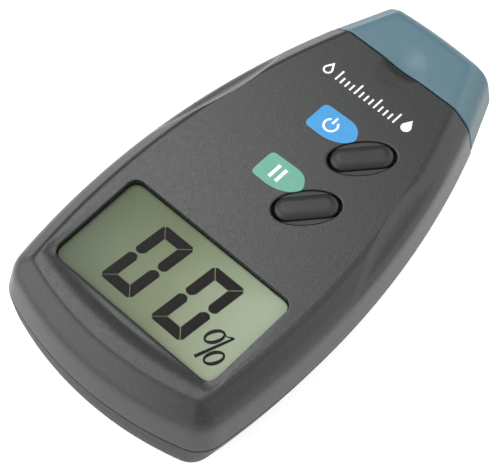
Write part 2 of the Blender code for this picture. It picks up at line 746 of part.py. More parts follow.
def keys():
    membrane_plan = rounded_rectangle(MEMBRANE_SIZE, 3.0, MEMBRANE_CENTRE)
    membrane = prism("key_membrane", membrane_plan, depth_z(MEMBRANE_DEPTHS[1]),
                     depth_z(MEMBRANE_DEPTHS[0]), black_rubber())
    collar_size = (OVAL_SIZE[0] - 2 * GAP, OVAL_SIZE[1] - 2 * GAP)
    for name, place in KEY_PLACES.items():
        collar = prism("tool_%s_collar" % name, oval(collar_size, place),
                       depth_z(MEMBRANE_DEPTHS[0] + GAP), depth_z(COLLAR_DEPTH))
        boolean(membrane, collar, "UNION")
        hole = capsule((KEY_SIZE[0] + KEY_END_ROOM, KEY_SIZE[1]), -GAP, place)
        boolean(membrane, prism("tool_%s_key_hole" % name, hole, depth_z(6.0), depth_z(0.0)))
        skirt_top, skirt_low = KEY_SKIRT_DEPTHS
        section = [(KEY_FOOT_DEPTH, KEY_SIZE, KEY_FOOT_INSET), (skirt_low, KEY_SIZE, KEY_FOOT_INSET),
                   (skirt_low, KEY_SKIRT, 0.0), (skirt_top, KEY_SKIRT, 0.0),
                   (skirt_top, KEY_SIZE, 0.0)]
        section += [(-height, KEY_SIZE, inset) for height, inset in KEY_CROWN]
        rings = []
        for depth, size, inset in section:
            rings.append([(x, y, depth_z(depth)) for x, y in capsule(size, inset, place)])
        loft(name + "_key", rings, black_rubber())

        half = SWITCH_SIZE / 2
        x, y = place
        seat = BOARD_DEPTHS[0] - RESTING
        body = block(name + "_switch", (x - half, y - half, depth_z(seat)),
                     (x + half, y + half, depth_z(SWITCH_TOP_DEPTH)), black_plastic())
        boolean(body, upright("tool_%s_switch_well" % name, STEM_RADIUS + GAP, place,
                              seat + 2.0, 0.0))
        upright(name + "_switch_stem", STEM_RADIUS, place, STEM_DEPTHS[1], STEM_DEPTHS[0],
                material("switch_stem", (225, 222, 214), 0.45))


# ---------------------------------------------------------------- electronics

def main_board():
    low_y, high_y = BOARD_SPAN
    steps = 8
    right = []
    for i in range(steps + 1):
        y = low_y + (high_y - low_y) * i / steps
        right.append((case_half_width(y, BOARD_INSET), y))
    plan = right + [(-x, y) for x, y in reversed(right)]
    board = prism("main_board", plan, depth_z(BOARD_DEPTHS[1]), depth_z(BOARD_DEPTHS[0]),
                  board_green())
    for i, place in enumerate(BOARD_SCREWS):
        boolean(board, upright("tool_board_hole_%d" % i, 1.3, place, 12.0, 4.0))
    for name, place in KEY_PLACES.items():
        boolean(board, upright("tool_%s_board_relief" % name, STEM_RADIUS + GAP, place,
                               12.0, 4.0))


def board_screws():
    tip = 3.6                     # depth of the end of the thread, inside the boss
    under_head = BOARD_DEPTHS[1] + GAP - tip
    profile = ((0.8, 0.0), (0.8, under_head), (2.0, under_head), (2.0, under_head + 1.2),
               (1.4, under_head + 1.5))
    for i, (x, y) in enumerate(BOARD_SCREWS):
        lathe("board_screw_%d" % (i + 1), profile, steel(), (x, y, depth_z(tip)), (0, 0, -1), 12)


def board_parts():
    """Components on the rear of the board."""
    below = BOARD_DEPTHS[1] + RESTING
    radius, height, steps = 5.0, 1.6, 4
    dome = []
    for i in range(steps):
        turn = math.pi / 2 * i / steps
        dome.append((radius * math.cos(turn), height * math.sin(turn)))
    dome.append((0.6, height))
    lathe("controller_blob", dome, black_plastic(), (-9.0, 15.0, depth_z(below)), (0, 0, -1), 14)

    can_radius, x, low_y, high_y = 1.0, -17.0, 8.4, 14.6
    z = depth_z(below + can_radius + 0.1)
    rod("timing_crystal", can_radius, (x, low_y, z), (x, high_y, z), steel())

    sleeve = ((2.5, 0.0), (2.5, 5.2), (2.3, 5.5))
    lathe("smoothing_capacitor", sleeve, material("capacitor_sleeve", (40, 52, 96), 0.35),
          (2.0, 23.0, depth_z(below)), (0, 0, -1), 16)

    low, high = (14.0, 8.0, depth_z(below + 3.4)), (20.0, 14.0, depth_z(below))
    block("calibration_trimmer", low, high, material("trimmer_blue", (50, 92, 170), 0.4), 0.3)


# ---------------------------------------------------------------- battery

def battery():
    width, length, height = BATTERY_SIZE
    top = depth_z(BATTERY_TOP_DEPTH)
    end = BATTERY_END_Y + length
    block("battery", (-width / 2, BATTERY_END_Y, top - height), (width / 2, end, top),
          material("battery_jacket", (58, 60, 66), 0.35, 0.4), 1.4)
    middle = top - height / 2
    crown = 0.3                   # the terminals are eased by this much
    stud = ((TERMINAL_RADIUS, 0.0), (TERMINAL_RADIUS, TERMINAL_HEIGHT - crown),
            (TERMINAL_RADIUS - crown, TERMINAL_HEIGHT))
    start_y = end + RESTING
    for name, x in (("positive", -TERMINAL_X), ("negative", TERMINAL_X)):
        lathe("battery_terminal_" + name, stud, steel(), (x, start_y, middle), (0, 1, 0), 16)
    clip_y = start_y + TERMINAL_HEIGHT + GAP
    clip_end = clip_y + CLIP_SIZE[1]
    block("battery_clip", (-CLIP_SIZE[0] / 2, clip_y, middle - CLIP_SIZE[2] / 2),
          (CLIP_SIZE[0] / 2, clip_end, middle + CLIP_SIZE[2] / 2), black_plastic(), 0.6)
    battery_lead("red", -TERMINAL_X, clip_end + GAP, middle, (160, 32, 30))
    battery_lead("black", TERMINAL_X, clip_end + GAP, middle, (28, 28, 29))


def battery_lead(name, x, start_y, z, colour):
    """Wire that leaves the clip straight, turns to the front and ends at the board."""
    bend_y = start_y + 4.8
    board = depth_z(BOARD_DEPTHS[1] + LEAD_RADIUS)
    route = ((x, start_y, z + 2.0), (x, start_y + 2.6, z + 2.4),
             (0.9 * x, start_y + 4.6, z + 4.4), (0.8 * x, bend_y, z + 6.6),
             (0.75 * x, bend_y, board))
    tube("battery_lead_" + name, route, LEAD_RADIUS, material("wire_" + name, colour, 0.4))


def pin_leads():
    """One wire from the tail of each pin down to the end of the board."""
    colours = {-1: (40, 70, 150), 1: (170, 40, 34)}
    landing_y = BOARD_SPAN[1] - 2.0
    board = depth_z(BOARD_DEPTHS[1] + LEAD_RADIUS)
    for i in range(PIN_COUNT):
        x = pin_x(i)
        side = 1 if x > 0 else -1
        inner = 0.78 * x
        route = ((x, PIN_TAIL_Y - GAP, PIN_Z), (x, PIN_TAIL_Y - 2.4, PIN_Z + 0.2),
                 ((x + inner) / 2, PIN_TAIL_Y - 5.4, PIN_Z + 1.4),
                 (inner, landing_y + 0.4, PIN_Z + 2.4), (inner, landing_y, board))
        surface = material("pin_wire_%s" % ("red" if side > 0 else "blue"), colours[side], 0.4)
        tube("pin_lead_%d" % (i + 1), route, PIN_LEAD_RADIUS, surface)


# ---------------------------------------------------------------- case screws

def case_screws():
    start = CASE_SCREW_HEAD_DEPTH
    shank = start - 6.0
    profile = ((0.5, -shank), (1.2, -shank + 1.4), (1.2, 0.0), (2.6, 0.0), (2.6, 1.2),
               (1.9, 1.9))
    long_half, short_half = 1.5, 0.3
    for i, (x, y) in enumerate(CASE_SCREWS):
        screw = lathe("case_screw_%d" % (i + 1), profile, steel(), (x, y, depth_z(start)),
                      (0, 0, -1), 12)
        for name, half_x, half_y in (("across", long_half, short_half),
                                     ("along", short_half, long_half)):
            slot = block("tool_screw_%d_slot_%s" % (i, name),
                         (x - half_x, y - half_y, depth_z(start + 3.0)),
                         (x + half_x, y + half_y, depth_z(start + 0.7)))
            boolean(screw, slot)


# ---------------------------------------------------------------- assembly

def clear_scene():
    for old in list(bpy.data.objects):
        bpy.data.objects.remove(old, do_unlink=True)


def main():
    clear_scene()
    front_shell()
    rear_shell()
    battery_door()
    protective_cap()
    probe()
    display()
    keys()
    main_board()
    board_screws()
    board_parts()
    battery()
    pin_leads()
    case_screws()


main()
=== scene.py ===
import json
import math

import bmesh
import bpy
from mathutils import Matrix, Vector
from mathutils.geometry import delaunay_2d_cdt

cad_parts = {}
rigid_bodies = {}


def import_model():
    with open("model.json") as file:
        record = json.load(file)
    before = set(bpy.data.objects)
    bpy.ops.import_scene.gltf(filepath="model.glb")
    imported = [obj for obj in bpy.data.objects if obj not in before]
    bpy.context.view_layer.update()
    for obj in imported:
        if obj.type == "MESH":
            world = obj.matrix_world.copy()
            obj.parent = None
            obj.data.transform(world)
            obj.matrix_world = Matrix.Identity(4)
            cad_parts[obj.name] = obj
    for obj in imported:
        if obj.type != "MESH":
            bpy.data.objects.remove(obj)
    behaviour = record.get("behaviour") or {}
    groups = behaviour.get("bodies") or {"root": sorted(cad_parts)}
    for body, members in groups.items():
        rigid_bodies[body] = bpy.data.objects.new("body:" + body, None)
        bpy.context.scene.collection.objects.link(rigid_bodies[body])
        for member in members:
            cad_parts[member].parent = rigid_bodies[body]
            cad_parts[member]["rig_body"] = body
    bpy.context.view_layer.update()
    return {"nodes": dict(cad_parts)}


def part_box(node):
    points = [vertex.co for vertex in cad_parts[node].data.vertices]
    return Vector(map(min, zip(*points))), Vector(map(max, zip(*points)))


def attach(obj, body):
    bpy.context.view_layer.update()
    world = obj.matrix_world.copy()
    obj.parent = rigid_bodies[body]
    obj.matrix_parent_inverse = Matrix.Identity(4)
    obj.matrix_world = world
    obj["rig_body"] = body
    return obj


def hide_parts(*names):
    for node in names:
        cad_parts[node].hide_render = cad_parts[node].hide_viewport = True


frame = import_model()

MM = 0.001


def box_mm(node):
    low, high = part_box(node)
    return low / MM, high / MM


def middle_of(node):
    low, high = box_mm(node)
    return (low + high) / 2


# ---------------------------------------------------------------- measures from the frame

FRONT_LOW, FRONT_HIGH = box_mm("front_shell")
CAP_LOW, CAP_HIGH = box_mm("protective_cap")
LENS_LOW, LENS_HIGH = box_mm("display_lens")
LCD_TOP = box_mm("lcd_panel")[1].z
DOOR_HIGH = box_mm("battery_door")[1]
MEMBRANE_LOW, MEMBRANE_HIGH = box_mm("key_membrane")
KEY_FOOT = box_mm("power_key")[0].z
TOP = FRONT_HIGH.z
HALF_WIDTH = FRONT_HIGH.x
END_Y = FRONT_LOW.y
CAP_END_Y = CAP_HIGH.y
SEAM_Y = (FRONT_HIGH.y + CAP_LOW.y) / 2
SHELL_TOP_Y = FRONT_HIGH.y
CAP_BASE_Y = CAP_LOW.y
WINDOW = middle_of("display_lens")
KEYS = {"power": middle_of("power_key"), "hold": middle_of("hold_key")}
SCREWS = [middle_of("case_screw_%d" % i) for i in range(1, 5)]
PINS = [middle_of("probe_pin_%d" % i) for i in range(1, 5)]

# ---------------------------------------------------------------- shape of the case

GAP = 0.3
WALL = 2.2
PARTING = TOP - FRONT_LOW.z + GAP / 2
SIDE_RADIUS = 195.0
WAIST_Y = -20.5
END_RADIUS = 86.0
CORNER_RADIUS = 8.0
SMALLEST_CORNER = 1.8
CAP_TAPER = 0.415
CAP_END_RADIUS = 150.0
CAP_CORNER = 2.0
BACK_LIFT_START = 16.0
BACK_LIFT = 6.0
SEAM_EASE = 0.26              # how far the edges at the joint with the cap are eased
FACE_SINK_REACH = 6.0         # depth at which the hollows of the face no longer bend the wall

# Sections: ((depth, side inset, end inset), length of the easing at that corner)
FRONT_SKIN = (((0.0, 7.9, 8.15), 0.0), ((0.0, 6.3, 6.55), 1.3), ((3.9, 1.5, 2.25), 2.3),
              ((PARTING - GAP / 2, 0.0, 0.0), 0.22), ((PARTING - GAP / 2, 0.5, 0.5), 0.0))
REAR_SKIN = (((10.3, 1.3, 1.3), 0.0), ((PARTING + 0.1, 1.3, 1.3), 0.0),
             ((PARTING + GAP / 2, 0.5, 0.5), 0.0), ((PARTING + GAP / 2, 0.0, 0.0), 0.22),
             ((17.0, 1.75, 0.3), 2.2), ((20.8, 2.95, 0.85), 1.7), ((24.1, 4.3, 2.5), 1.5),
             ((26.5, 6.2, 5.3), 1.2), ((27.6, 8.4, 8.3), 0.9), ((28.0, 10.8, 11.4), 1.0),
             ((28.0, 12.2, 12.8), 0.0))
CAP_SKIN = (((0.0, 9.6, 5.4), 0.0), ((0.0, 6.3, 2.9), 2.5), ((1.3, 4.8, 1.1), 0.9),
            ((3.9, 1.5, 0.15), 2.6), ((PARTING, 0.0, 0.0), 1.2), ((17.0, 1.85, 0.2), 2.2),
            ((20.8, 3.15, 0.8), 1.7), ((24.1, 4.6, 2.0), 1.5), ((26.5, 6.5, 3.6), 1.2),
            ((27.6, 8.5, 5.2), 0.9), ((28.0, 10.8, 7.0), 1.0), ((28.0, 12.2, 8.4), 0.0))
FRONT_CAVITY = ((2.0, 8.2, 8.4), (5.2, 4.3, 4.4), (9.9, 2.75, 2.75), (9.95, 1.0, 1.0),
                (PARTING + 2.0, 1.0, 1.0))
REAR_CAVITY = ((PARTING - 3.0, WALL, WALL), (PARTING + GAP, WALL, WALL), (17.0, 4.0, 2.6),
               (20.5, 5.3, 3.3), (23.5, 6.9, 5.2), (25.3, 8.6, 7.8), (26.0, 11.5, 12.5))
CAP_CAVITY = ((2.0, 8.2, 3.0), (5.2, 4.3, 1.8), (PARTING, WALL, 1.8), (17.0, 4.0, 2.0),
              (20.5, 5.3, 2.6), (23.5, 6.9, 3.8), (25.3, 8.6, 5.6), (26.0, 11.5, 8.0))
FINE_STEPS = (26, 12, 130)    # points along the end, a corner and a side of the case
PLAIN_STEPS = (8, 5, 24)
CAP_STEPS = (22, 14)          # along a side or the end of the cap, and a corner

# Hollows in the front face
WINDOW_SIZE = (LENS_HIGH.x - LENS_LOW.x + 2 * GAP, LENS_HIGH.y - LENS_LOW.y + 2 * GAP)
WINDOW_CORNER = 2.6
WINDOW_EDGE = 0.16            # radii of the eased edges of the openings
OVAL_EDGE = 0.3
EDGE_BAND = 0.3               # flat band around an opening
OPENING_MARGIN = 0.6          # inner spots of the face keep this far from an opening
END_BOW = 150.0               # the outline of the lower end rises by about x * x / END_BOW
DISH_RIM_Y = WINDOW.y - 18.7  # lowest point of the dish below the window
DISH_RADIUS = 100.0
DISH_SLOPE = 0.2
DISH_SIDES = (24.8, 27.3)     # the dish fades out between these distances from the middle
DISH_RISE = 5.0               # and over this length beside the window
DISH_SOFTNESS = 0.4           # rounding of the dish's edge, which fades out over the fringe
DISH_FRINGE = 3.0
SCOOP_SIZE = (10.0, 12.6, 6.0)
SCOOP_BITE = 0.8
SCOOP_SHARE = 0.9            # the scoop is shallower than its ball, and faint on the case
SCOOP_FAINT = 0.12
SCOOP_SOFTNESS = 0.16
SCOOP_END = 0.55              # share of the ball's plan where the scoop has faded out
SCOOP_FADE = 0.25
KEY_ANGLE = math.radians(49.0)
OVAL_SIZE = (16.4, 9.2)
OVAL_POWER = 2.15
KEY_SIZE = (14.9, 6.2)
KEY_SKIRT = (17.0, 8.4)
KEY_SKIRT_DEPTHS = (3.9, 4.7)
COLLAR_DEPTH = 0.3
COLLAR_GAP = 0.12             # between a collar and the edge of its opening
KEY_ROOM = (0.9, 0.2)         # extra length of the hole around a key, and its clearance
MEMBRANE_DEPTHS = (2.3, 3.5)

# Bosses, posts and holes around the case screws
BOSS_LOW = TOP - 16.0
BOSS_TOP = TOP - 0.5
PILOT_TOP = TOP - 5.4
SCREW_HOLE_TOP = TOP - 8.0
SCREW_HEAD = 2.2
BOSS_RADIUS = 3.0
PILOT_RADIUS = 1.5
POST_RADIUS = 3.6
SCREW_HOLE_RADIUS = 1.6
SCREW_SINK_RADIUS = 3.0
OUTSIDE = -2.0                # a height below the back, where cutters start

# Battery door: the ribs beside it, and the grip grooves across it
RIB = 1.2
RIB_CLEARANCE = 0.7
RIB_LOW_Y = -56.0
RIB_TOP = TOP - 14.5
GROOVE_RADIUS = 0.7
GROOVE_REACH = 6.0
GROOVE_START_Y = -9.0
GROOVE_PITCH = 2.2
GROOVES = 5
CAVITY_PAST_SEAM = 6.0        # the cavities of both shells run this far past the joint

# Finger scoops in the bevel along the shoulders
GRIP_MIDDLE_Y = 15.5
GRIP_REACH = (24.5, 17.0)
GRIP_FULLNESS = (1.2, 0.8)
GRIP_INSETS = (1.55, 7.1)
GRIP_HOLLOW = 0.09
GRIP_PEAK = 2.6               # brings the highest value of the hollow's curve to one
BEVEL_NORMAL = (0.63, 0.777)


# ---------------------------------------------------------------- mesh helpers

def place_mesh(name, bm, sharp=30.0):
    """Turn a bmesh in millimetres into an object in metres."""
    bmesh.ops.recalc_face_normals(bm, faces=bm.faces)
    bmesh.ops.scale(bm, vec=(MM, MM, MM), verts=bm.verts)
    mesh = bpy.data.meshes.new(name)
    bm.to_mesh(mesh)
    bm.free()
    mesh.shade_smooth()
    mesh.set_sharp_from_angle(angle=math.radians(sharp))
    made = bpy.data.objects.new(name, mesh)
    bpy.context.scene.collection.objects.link(made)
    return made


def dress(piece, surface, body, slot, *replaced):
    """Give a piece its material, its body and the CAD nodes that it stands for, which it hides; the
    slot is not used.
    """
    piece.data.materials.clear()
    piece.data.materials.append(surface)
    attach(piece, body)
    if replaced:
        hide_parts(*replaced)
    return piece


def combine(piece, tools, operation="DIFFERENCE", sharp=30.0):
    """Apply exact Booleans to a piece, and remove the tools."""
    for tool in tools:
        step = piece.modifiers.new(tool.name, "BOOLEAN")
        step.operation = operation
        step.solver = "EXACT"
        step.object = tool
    depsgraph = bpy.context.evaluated_depsgraph_get()
    mesh = bpy.data.meshes.new_from_object(piece.evaluated_get(depsgraph))
    piece.modifiers.clear()
    old = piece.data
    piece.data = mesh
    bpy.data.meshes.remove(old)
    for tool in tools:
        bpy.data.objects.remove(tool)
    bm = bmesh.new()
    bm.from_mesh(mesh)
    bmesh.ops.remove_doubles(bm, verts=bm.verts, dist=0.002 * MM)
    bmesh.ops.dissolve_degenerate(bm, edges=bm.edges, dist=0.001 * MM)
    bm.to_mesh(mesh)
    bm.free()
    mesh.shade_smooth()
    mesh.set_sharp_from_angle(angle=math.radians(sharp))
    return piece


def skin(bm, rings):
    """Join closed rings of vertices with quads."""
    for low, high in zip(rings, rings[1:]):
        count = len(low)
        for i in range(count):
            j = (i + 1) % count
            bm.faces.new((low[i], low[j], high[j], high[i]))


def new_ring(bm, points, height):
    """Vertices over an outline; height is a number or a function of x and y."""
    level = height if callable(height) else (lambda x, y: height)
    return [bm.verts.new((x, y, level(x, y))) for x, y in points]


def fill_plan(bm, loops, spots=(), height=None):
    """Triangles inside the first loop and outside the others, through extra spots.

    The other loops are convex and hold no spots."""
    verts = [vert for loop in loops for vert in loop]
    holes = [set(loop) for loop in loops[1:]]
    points = [vert.co.xy.copy() for vert in verts] + [Vector(spot) for spot in spots]
    edges = []
    start = 0
    for loop in loops:
        count = len(loop)
        edges += [(start + i, start + (i + 1) % count) for i in range(count)]
        start += count
    placed, _, faces, origins, _, _ = delaunay_2d_cdt(points, edges, [], 1, 1e-6)
    made = []
    for point, origin in zip(placed, origins):
        known = [i for i in origin if i < len(verts)]
        if known:
            made.append(verts[known[0]])
        else:
            made.append(bm.verts.new((point.x, point.y, height(point.x, point.y))))
    for face in faces:
        corners = {made[i] for i in face}
        if len(corners) > 2 and not any(corners <= hole for hole in holes):
            bm.faces.new([made[i] for i in face])
    for vert in [v for v in made if not v.link_faces]:
        bm.verts.remove(vert)


def stack(name, layers, sharp=30.0):
    """Closed form from pairs of an outline and a height, each ring joined to the next."""
    bm = bmesh.new()
    rings = [new_ring(bm, outline, height) for outline, height in layers]
    skin(bm, rings)
    fill_plan(bm, [rings[0]])
    fill_plan(bm, [rings[-1]])
    return place_mesh(name, bm, sharp)


def eased(corners, steps=5):
    """Polyline through corners ((values), easing), each corner turned into a short curve."""
    spots = [Vector(values) for values, _ in corners]
    path = [spots[0]]
    for i in range(1, len(spots) - 1):
        here, reach = spots[i], corners[i][1]
        if not reach:
            path.append(here)
            continue
        ends = []
        for other in (spots[i - 1], spots[i + 1]):
            length = (other - here).length
            ends.append(here + (other - here) * min(reach, 0.48 * length) / length)
        for k in range(steps + 1):
            t = k / steps
            path.append(ends[0] * (1 - t) ** 2 + here * 2 * t * (1 - t) + ends[1] * t * t)
    path.append(spots[-1])
    return path


def divided(path, longest):
    """A polyline with its long stretches split; longest is a function of depth."""
    made = [path[0]]
    for a, b in zip(path, path[1:]):
        pieces = max(1, math.ceil((b - a).length / longest((a + b)[0] / 2)))
        made += [a.lerp(b, (i + 1) / pieces) for i in range(pieces)]
    return made


def smooth_step(value):
    value = min(1.0, max(0.0, value))
    return value * value * (3 - 2 * value)


def soft_positive(value, ease):
    """Zero below nought and the value above it, with a rounded corner."""
    return 0.5 * (value + math.sqrt(value * value + ease * ease))


# ---------------------------------------------------------------- outlines

def arc(centre, radius, start, end, steps):
    turns = [start + (end - start) * i / steps for i in range(steps + 1)]
    return [(centre[0] + radius * math.cos(t), centre[1] + radius * math.sin(t))
            for t in turns]


def direction(origin, point):
    return math.atan2(point[1] - origin[1], point[0] - origin[0])


def seam_line(end_x, y, fine=0.8, wide=6.4, rest=8):
    """Points from the middle of the joint out to one side; close together in the scoop."""
    near = [(i * fine, y) for i in range(round(wide / fine) + 1)]
    far = [(wide + (end_x - wide) * i / rest, y) for i in range(1, rest)]
    return near + far


def case_half_width(y, inset=0.0):
    radius = SIDE_RADIUS - inset
    return HALF_WIDTH - SIDE_RADIUS + math.sqrt(radius ** 2 - (y - WAIST_Y) ** 2)


def case_half(depth, side_inset, end_inset, top_y, steps, ease=0.0):
    """Right half of the case outline: lower end, corner, side, then along the joint."""
    corner = max(SMALLEST_CORNER, CORNER_RADIUS - (side_inset + end_inset) / 2)
    side_radius = SIDE_RADIUS - side_inset
    end_radius = END_RADIUS - end_inset
    side_centre = Vector((HALF_WIDTH - SIDE_RADIUS, WAIST_Y))
    end_centre = Vector((0.0, END_RADIUS + END_Y))
    to_side = side_radius - corner
    to_end = end_radius - corner
    span = end_centre - side_centre
    apart = span.length
    along = (to_side ** 2 - to_end ** 2 + apart ** 2) / (2 * apart)
    across = math.sqrt(to_side ** 2 - along ** 2)
    unit = span.normalized()
    centre = side_centre + unit * along + Vector((unit.y, -unit.x)) * across
    end_turn = direction(end_centre, centre)
    side_turn = direction(side_centre, centre)
    points = arc(end_centre, end_radius, -math.pi / 2, end_turn, steps[0])
    points += arc(centre, corner, end_turn, side_turn, steps[1])[1:]
    last_turn = math.asin((top_y - ease - WAIST_Y) / side_radius)
    points += arc(side_centre, side_radius, side_turn, last_turn, steps[2])[1:]
    if ease:
        points.append((case_half_width(top_y, side_inset + ease * min(1.0, depth / 3)), top_y))
    points += list(reversed(seam_line(points[-1][0], top_y)))
    points[0] = (0.0, points[0][1])
    return points


def cap_half(depth, side_inset, end_inset, base_y, steps, ease=0.0):
    """Right half of the cap outline: along the joint, side, corner, then the far end."""
    corner = max(SMALLEST_CORNER, CAP_CORNER - 0.3 * (side_inset + end_inset))
    start = Vector((case_half_width(SEAM_Y, side_inset), SEAM_Y))
    run = Vector((-CAP_TAPER, 1.0)).normalized()
    inward = Vector((-1.0, -CAP_TAPER)).normalized()
    end_radius = CAP_END_RADIUS - end_inset
    end_centre = Vector((0.0, CAP_END_Y - CAP_END_RADIUS))
    offset = start + inward * corner - end_centre
    half_b = offset.dot(run)
    reach = -half_b + math.sqrt(half_b ** 2 - offset.length_squared
                                + (end_radius - corner) ** 2)
    centre = start + inward * corner + run * reach
    side_turn = direction(centre, centre - inward)
    end_turn = direction(end_centre, centre)
    side_start = start + run * ((base_y + ease - SEAM_Y) / run.y)
    side_end = centre - inward * corner
    mouth_x = (start + run * ((base_y - SEAM_Y) / run.y)).x - ease * min(1.0, depth / 3)
    points = seam_line(mouth_x, base_y)
    if ease:
        points.append((mouth_x, base_y))
    for i in range(steps[0]):
        points.append(tuple(side_start.lerp(side_end, i / steps[0])))
    points += arc(centre, corner, side_turn, end_turn, steps[1])
    points += arc(end_centre, end_radius, end_turn, math.pi / 2, steps[0])[1:]
    points[-1] = (0.0, points[-1][1])
    return points


def whole(half):
    """Closed outline from a right half that starts and ends on the middle line."""
    return half + [(-x, y) for x, y in reversed(half[1:-1])]


def rounded_rectangle(size, corner, centre=(0.0, 0.0), steps=8):
    half_x = size[0] / 2 - corner
    half_y = size[1] / 2 - corner
    points = []
    for quarter, (sx, sy) in enumerate(((1, 1), (-1, 1), (-1, -1), (1, -1))):
        start = quarter * math.pi / 2
        spot = (centre[0] + sx * half_x, centre[1] + sy * half_y)
        points += arc(spot, corner, start, start + math.pi / 2, steps)
    return points


def slanted(points, centre):
    """Turn points by the slant of the keys and move them to a place."""
    cos, sin = math.cos(KEY_ANGLE), math.sin(KEY_ANGLE)
    return [(centre[0] + x * cos - y * sin, centre[1] + x * sin + y * cos) for x, y in points]


def capsule(size, inset, centre, steps=16):
    """Slanted outline with straight sides and round ends."""
    radius = size[1] / 2 - inset
    reach = (size[0] - size[1]) / 2
    points = arc((reach, 0.0), radius, -math.pi / 2, math.pi / 2, steps)
    points += arc((-reach, 0.0), radius, math.pi / 2, 1.5 * math.pi, steps)
    return slanted(points, centre)


def oval(grow, centre, steps=72):
    """Slanted oval around a key, a little fuller than an ellipse."""
    points = []
    for i in range(steps):
        turn = math.tau * i / steps
        cos, sin = math.cos(turn), math.sin(turn)
        full = (abs(cos) ** OVAL_POWER + abs(sin) ** OVAL_POWER) ** (-1 / OVAL_POWER)
        points.append(((OVAL_SIZE[0] / 2 + grow) * cos * full,
                       (OVAL_SIZE[1] / 2 + grow) * sin * full))
    return slanted(points, centre)


def window_outline(grow):
    size = (WINDOW_SIZE[0] + 2 * grow, WINDOW_SIZE[1] + 2 * grow)
    return rounded_rectangle(size, WINDOW_CORNER + grow, WINDOW)


# ---------------------------------------------------------------- surface of the case

def dish_depth(x, y):
    """The shallow sink between the window and the lower end."""
    edge_y = WINDOW.y - WINDOW_SIZE[1] / 2
    low_y = min(y, edge_y)
    run = DISH_RADIUS - math.hypot(x, low_y - (DISH_RIM_Y + DISH_RADIUS))
    if run < -DISH_FRINGE:
        return 0.0
    depth = DISH_SLOPE * soft_positive(run, DISH_SOFTNESS)
    depth *= smooth_step((DISH_SIDES[1] - abs(x)) / (DISH_SIDES[1] - DISH_SIDES[0]))
    depth *= smooth_step((run + DISH_FRINGE) / DISH_FRINGE)
    return depth * smooth_step(1.0 - (y - edge_y) / DISH_RISE)


def scoop_depth(x, y):
    """The thumb scoop across the joint with the cap; fainter on the side of the case."""
    share = (x / SCOOP_SIZE[0]) ** 2 + ((y - SEAM_Y) / SCOOP_SIZE[1]) ** 2
    if share > SCOOP_END:
        return 0.0
    raw = SCOOP_SIZE[2] * math.sqrt(1 - share) - (SCOOP_SIZE[2] - SCOOP_BITE)
    faint = SCOOP_FAINT + (1 - SCOOP_FAINT) * smooth_step((y - SEAM_Y + 2.0) / 3.0)
    depth = SCOOP_SHARE * faint * soft_positive(raw, SCOOP_SOFTNESS)
    return depth * smooth_step((SCOOP_END - share) / SCOOP_FADE)


def joint_ease(y):
    """Easing of the edges on both sides of the joint with the cap."""
    return SEAM_EASE if abs(y - SEAM_Y) < (CAP_BASE_Y - SEAM_Y) + 0.01 else 0.0


def face_sink(x, y):
    return dish_depth(x, y) + scoop_depth(x, y) + joint_ease(y)


def front_height(x, y):
    return TOP - face_sink(x, y)


def skin_height(depth, x, y):
    """Height of the case's surface; the back lifts towards the cap."""
    if depth <= PARTING:
        return TOP - depth - face_sink(x, y) * max(0.0, 1.0 - depth / FACE_SINK_REACH)
    along = max(0.0, (y - BACK_LIFT_START) / (CAP_END_Y - BACK_LIFT_START))
    shrink = 1.0 - BACK_LIFT * along * along / (TOP - PARTING)
    return TOP - PARTING - (depth - PARTING) * shrink


def level(depth):
    """Height of the case's surface at one depth, as a function of x and y."""
    return lambda x, y: skin_height(depth, x, y)


def grip_cut(y, inset):
    """How deep a finger scoop is at a place of the bevel."""
    above = 1 if y > GRIP_MIDDLE_Y else 0
    share = abs(y - GRIP_MIDDLE_Y) / GRIP_REACH[above]
    if share >= 1.0:
        return 0.0
    bulge = (1.0 - share * share) ** GRIP_FULLNESS[above]
    width = (GRIP_INSETS[1] - GRIP_INSETS[0]) * bulge
    across = (GRIP_INSETS[0] + width - inset) / max(width, 1e-6)
    if not 0.0 < across < 1.0:
        return 0.0
    slant = width / BEVEL_NORMAL[1]
    return GRIP_PEAK * GRIP_HOLLOW * slant * across * (1 - across) * (2 - across)


def grid_spots(low, high, step, inside):
    """Staggered spots of a plan where a test holds."""
    spots = []
    rows = int((high[1] - low[1]) / step)
    columns = int((high[0] - low[0]) / step)
    for row in range(rows + 1):
        for column in range(columns + 1):
            x = low[0] + step * (column + 0.5 * (row % 2))
            y = low[1] + step * row
            if inside(x, y):
                spots.append((x, y))
    return spots


def outside_oval(x, y, centre, clear):
    along = (x - centre[0]) * math.cos(KEY_ANGLE) + (y - centre[1]) * math.sin(KEY_ANGLE)
    across = (y - centre[1]) * math.cos(KEY_ANGLE) - (x - centre[0]) * math.sin(KEY_ANGLE)
    reach = (OVAL_SIZE[0] / 2 + clear, OVAL_SIZE[1] / 2 + clear)
    return (abs(along) / reach[0]) ** OVAL_POWER + (abs(across) / reach[1]) ** OVAL_POWER > 1


def on_face(x, y, clear):
    """True where the front face has room for an inner spot."""
    if y > SHELL_TOP_Y - SEAM_EASE - clear:
        return False
    if y < END_Y + FRONT_SKIN[0][0][2] + clear + x * x / END_BOW:
        return False
    if abs(x) > case_half_width(y, FRONT_SKIN[0][0][1]) - clear:
        return False
    if (abs(x) < WINDOW_SIZE[0] / 2 + OPENING_MARGIN + clear
            and abs(y - WINDOW.y) < WINDOW_SIZE[1] / 2 + OPENING_MARGIN + clear):
        return False
    return all(outside_oval(x, y, centre, OPENING_MARGIN + clear) for centre in KEYS.values())


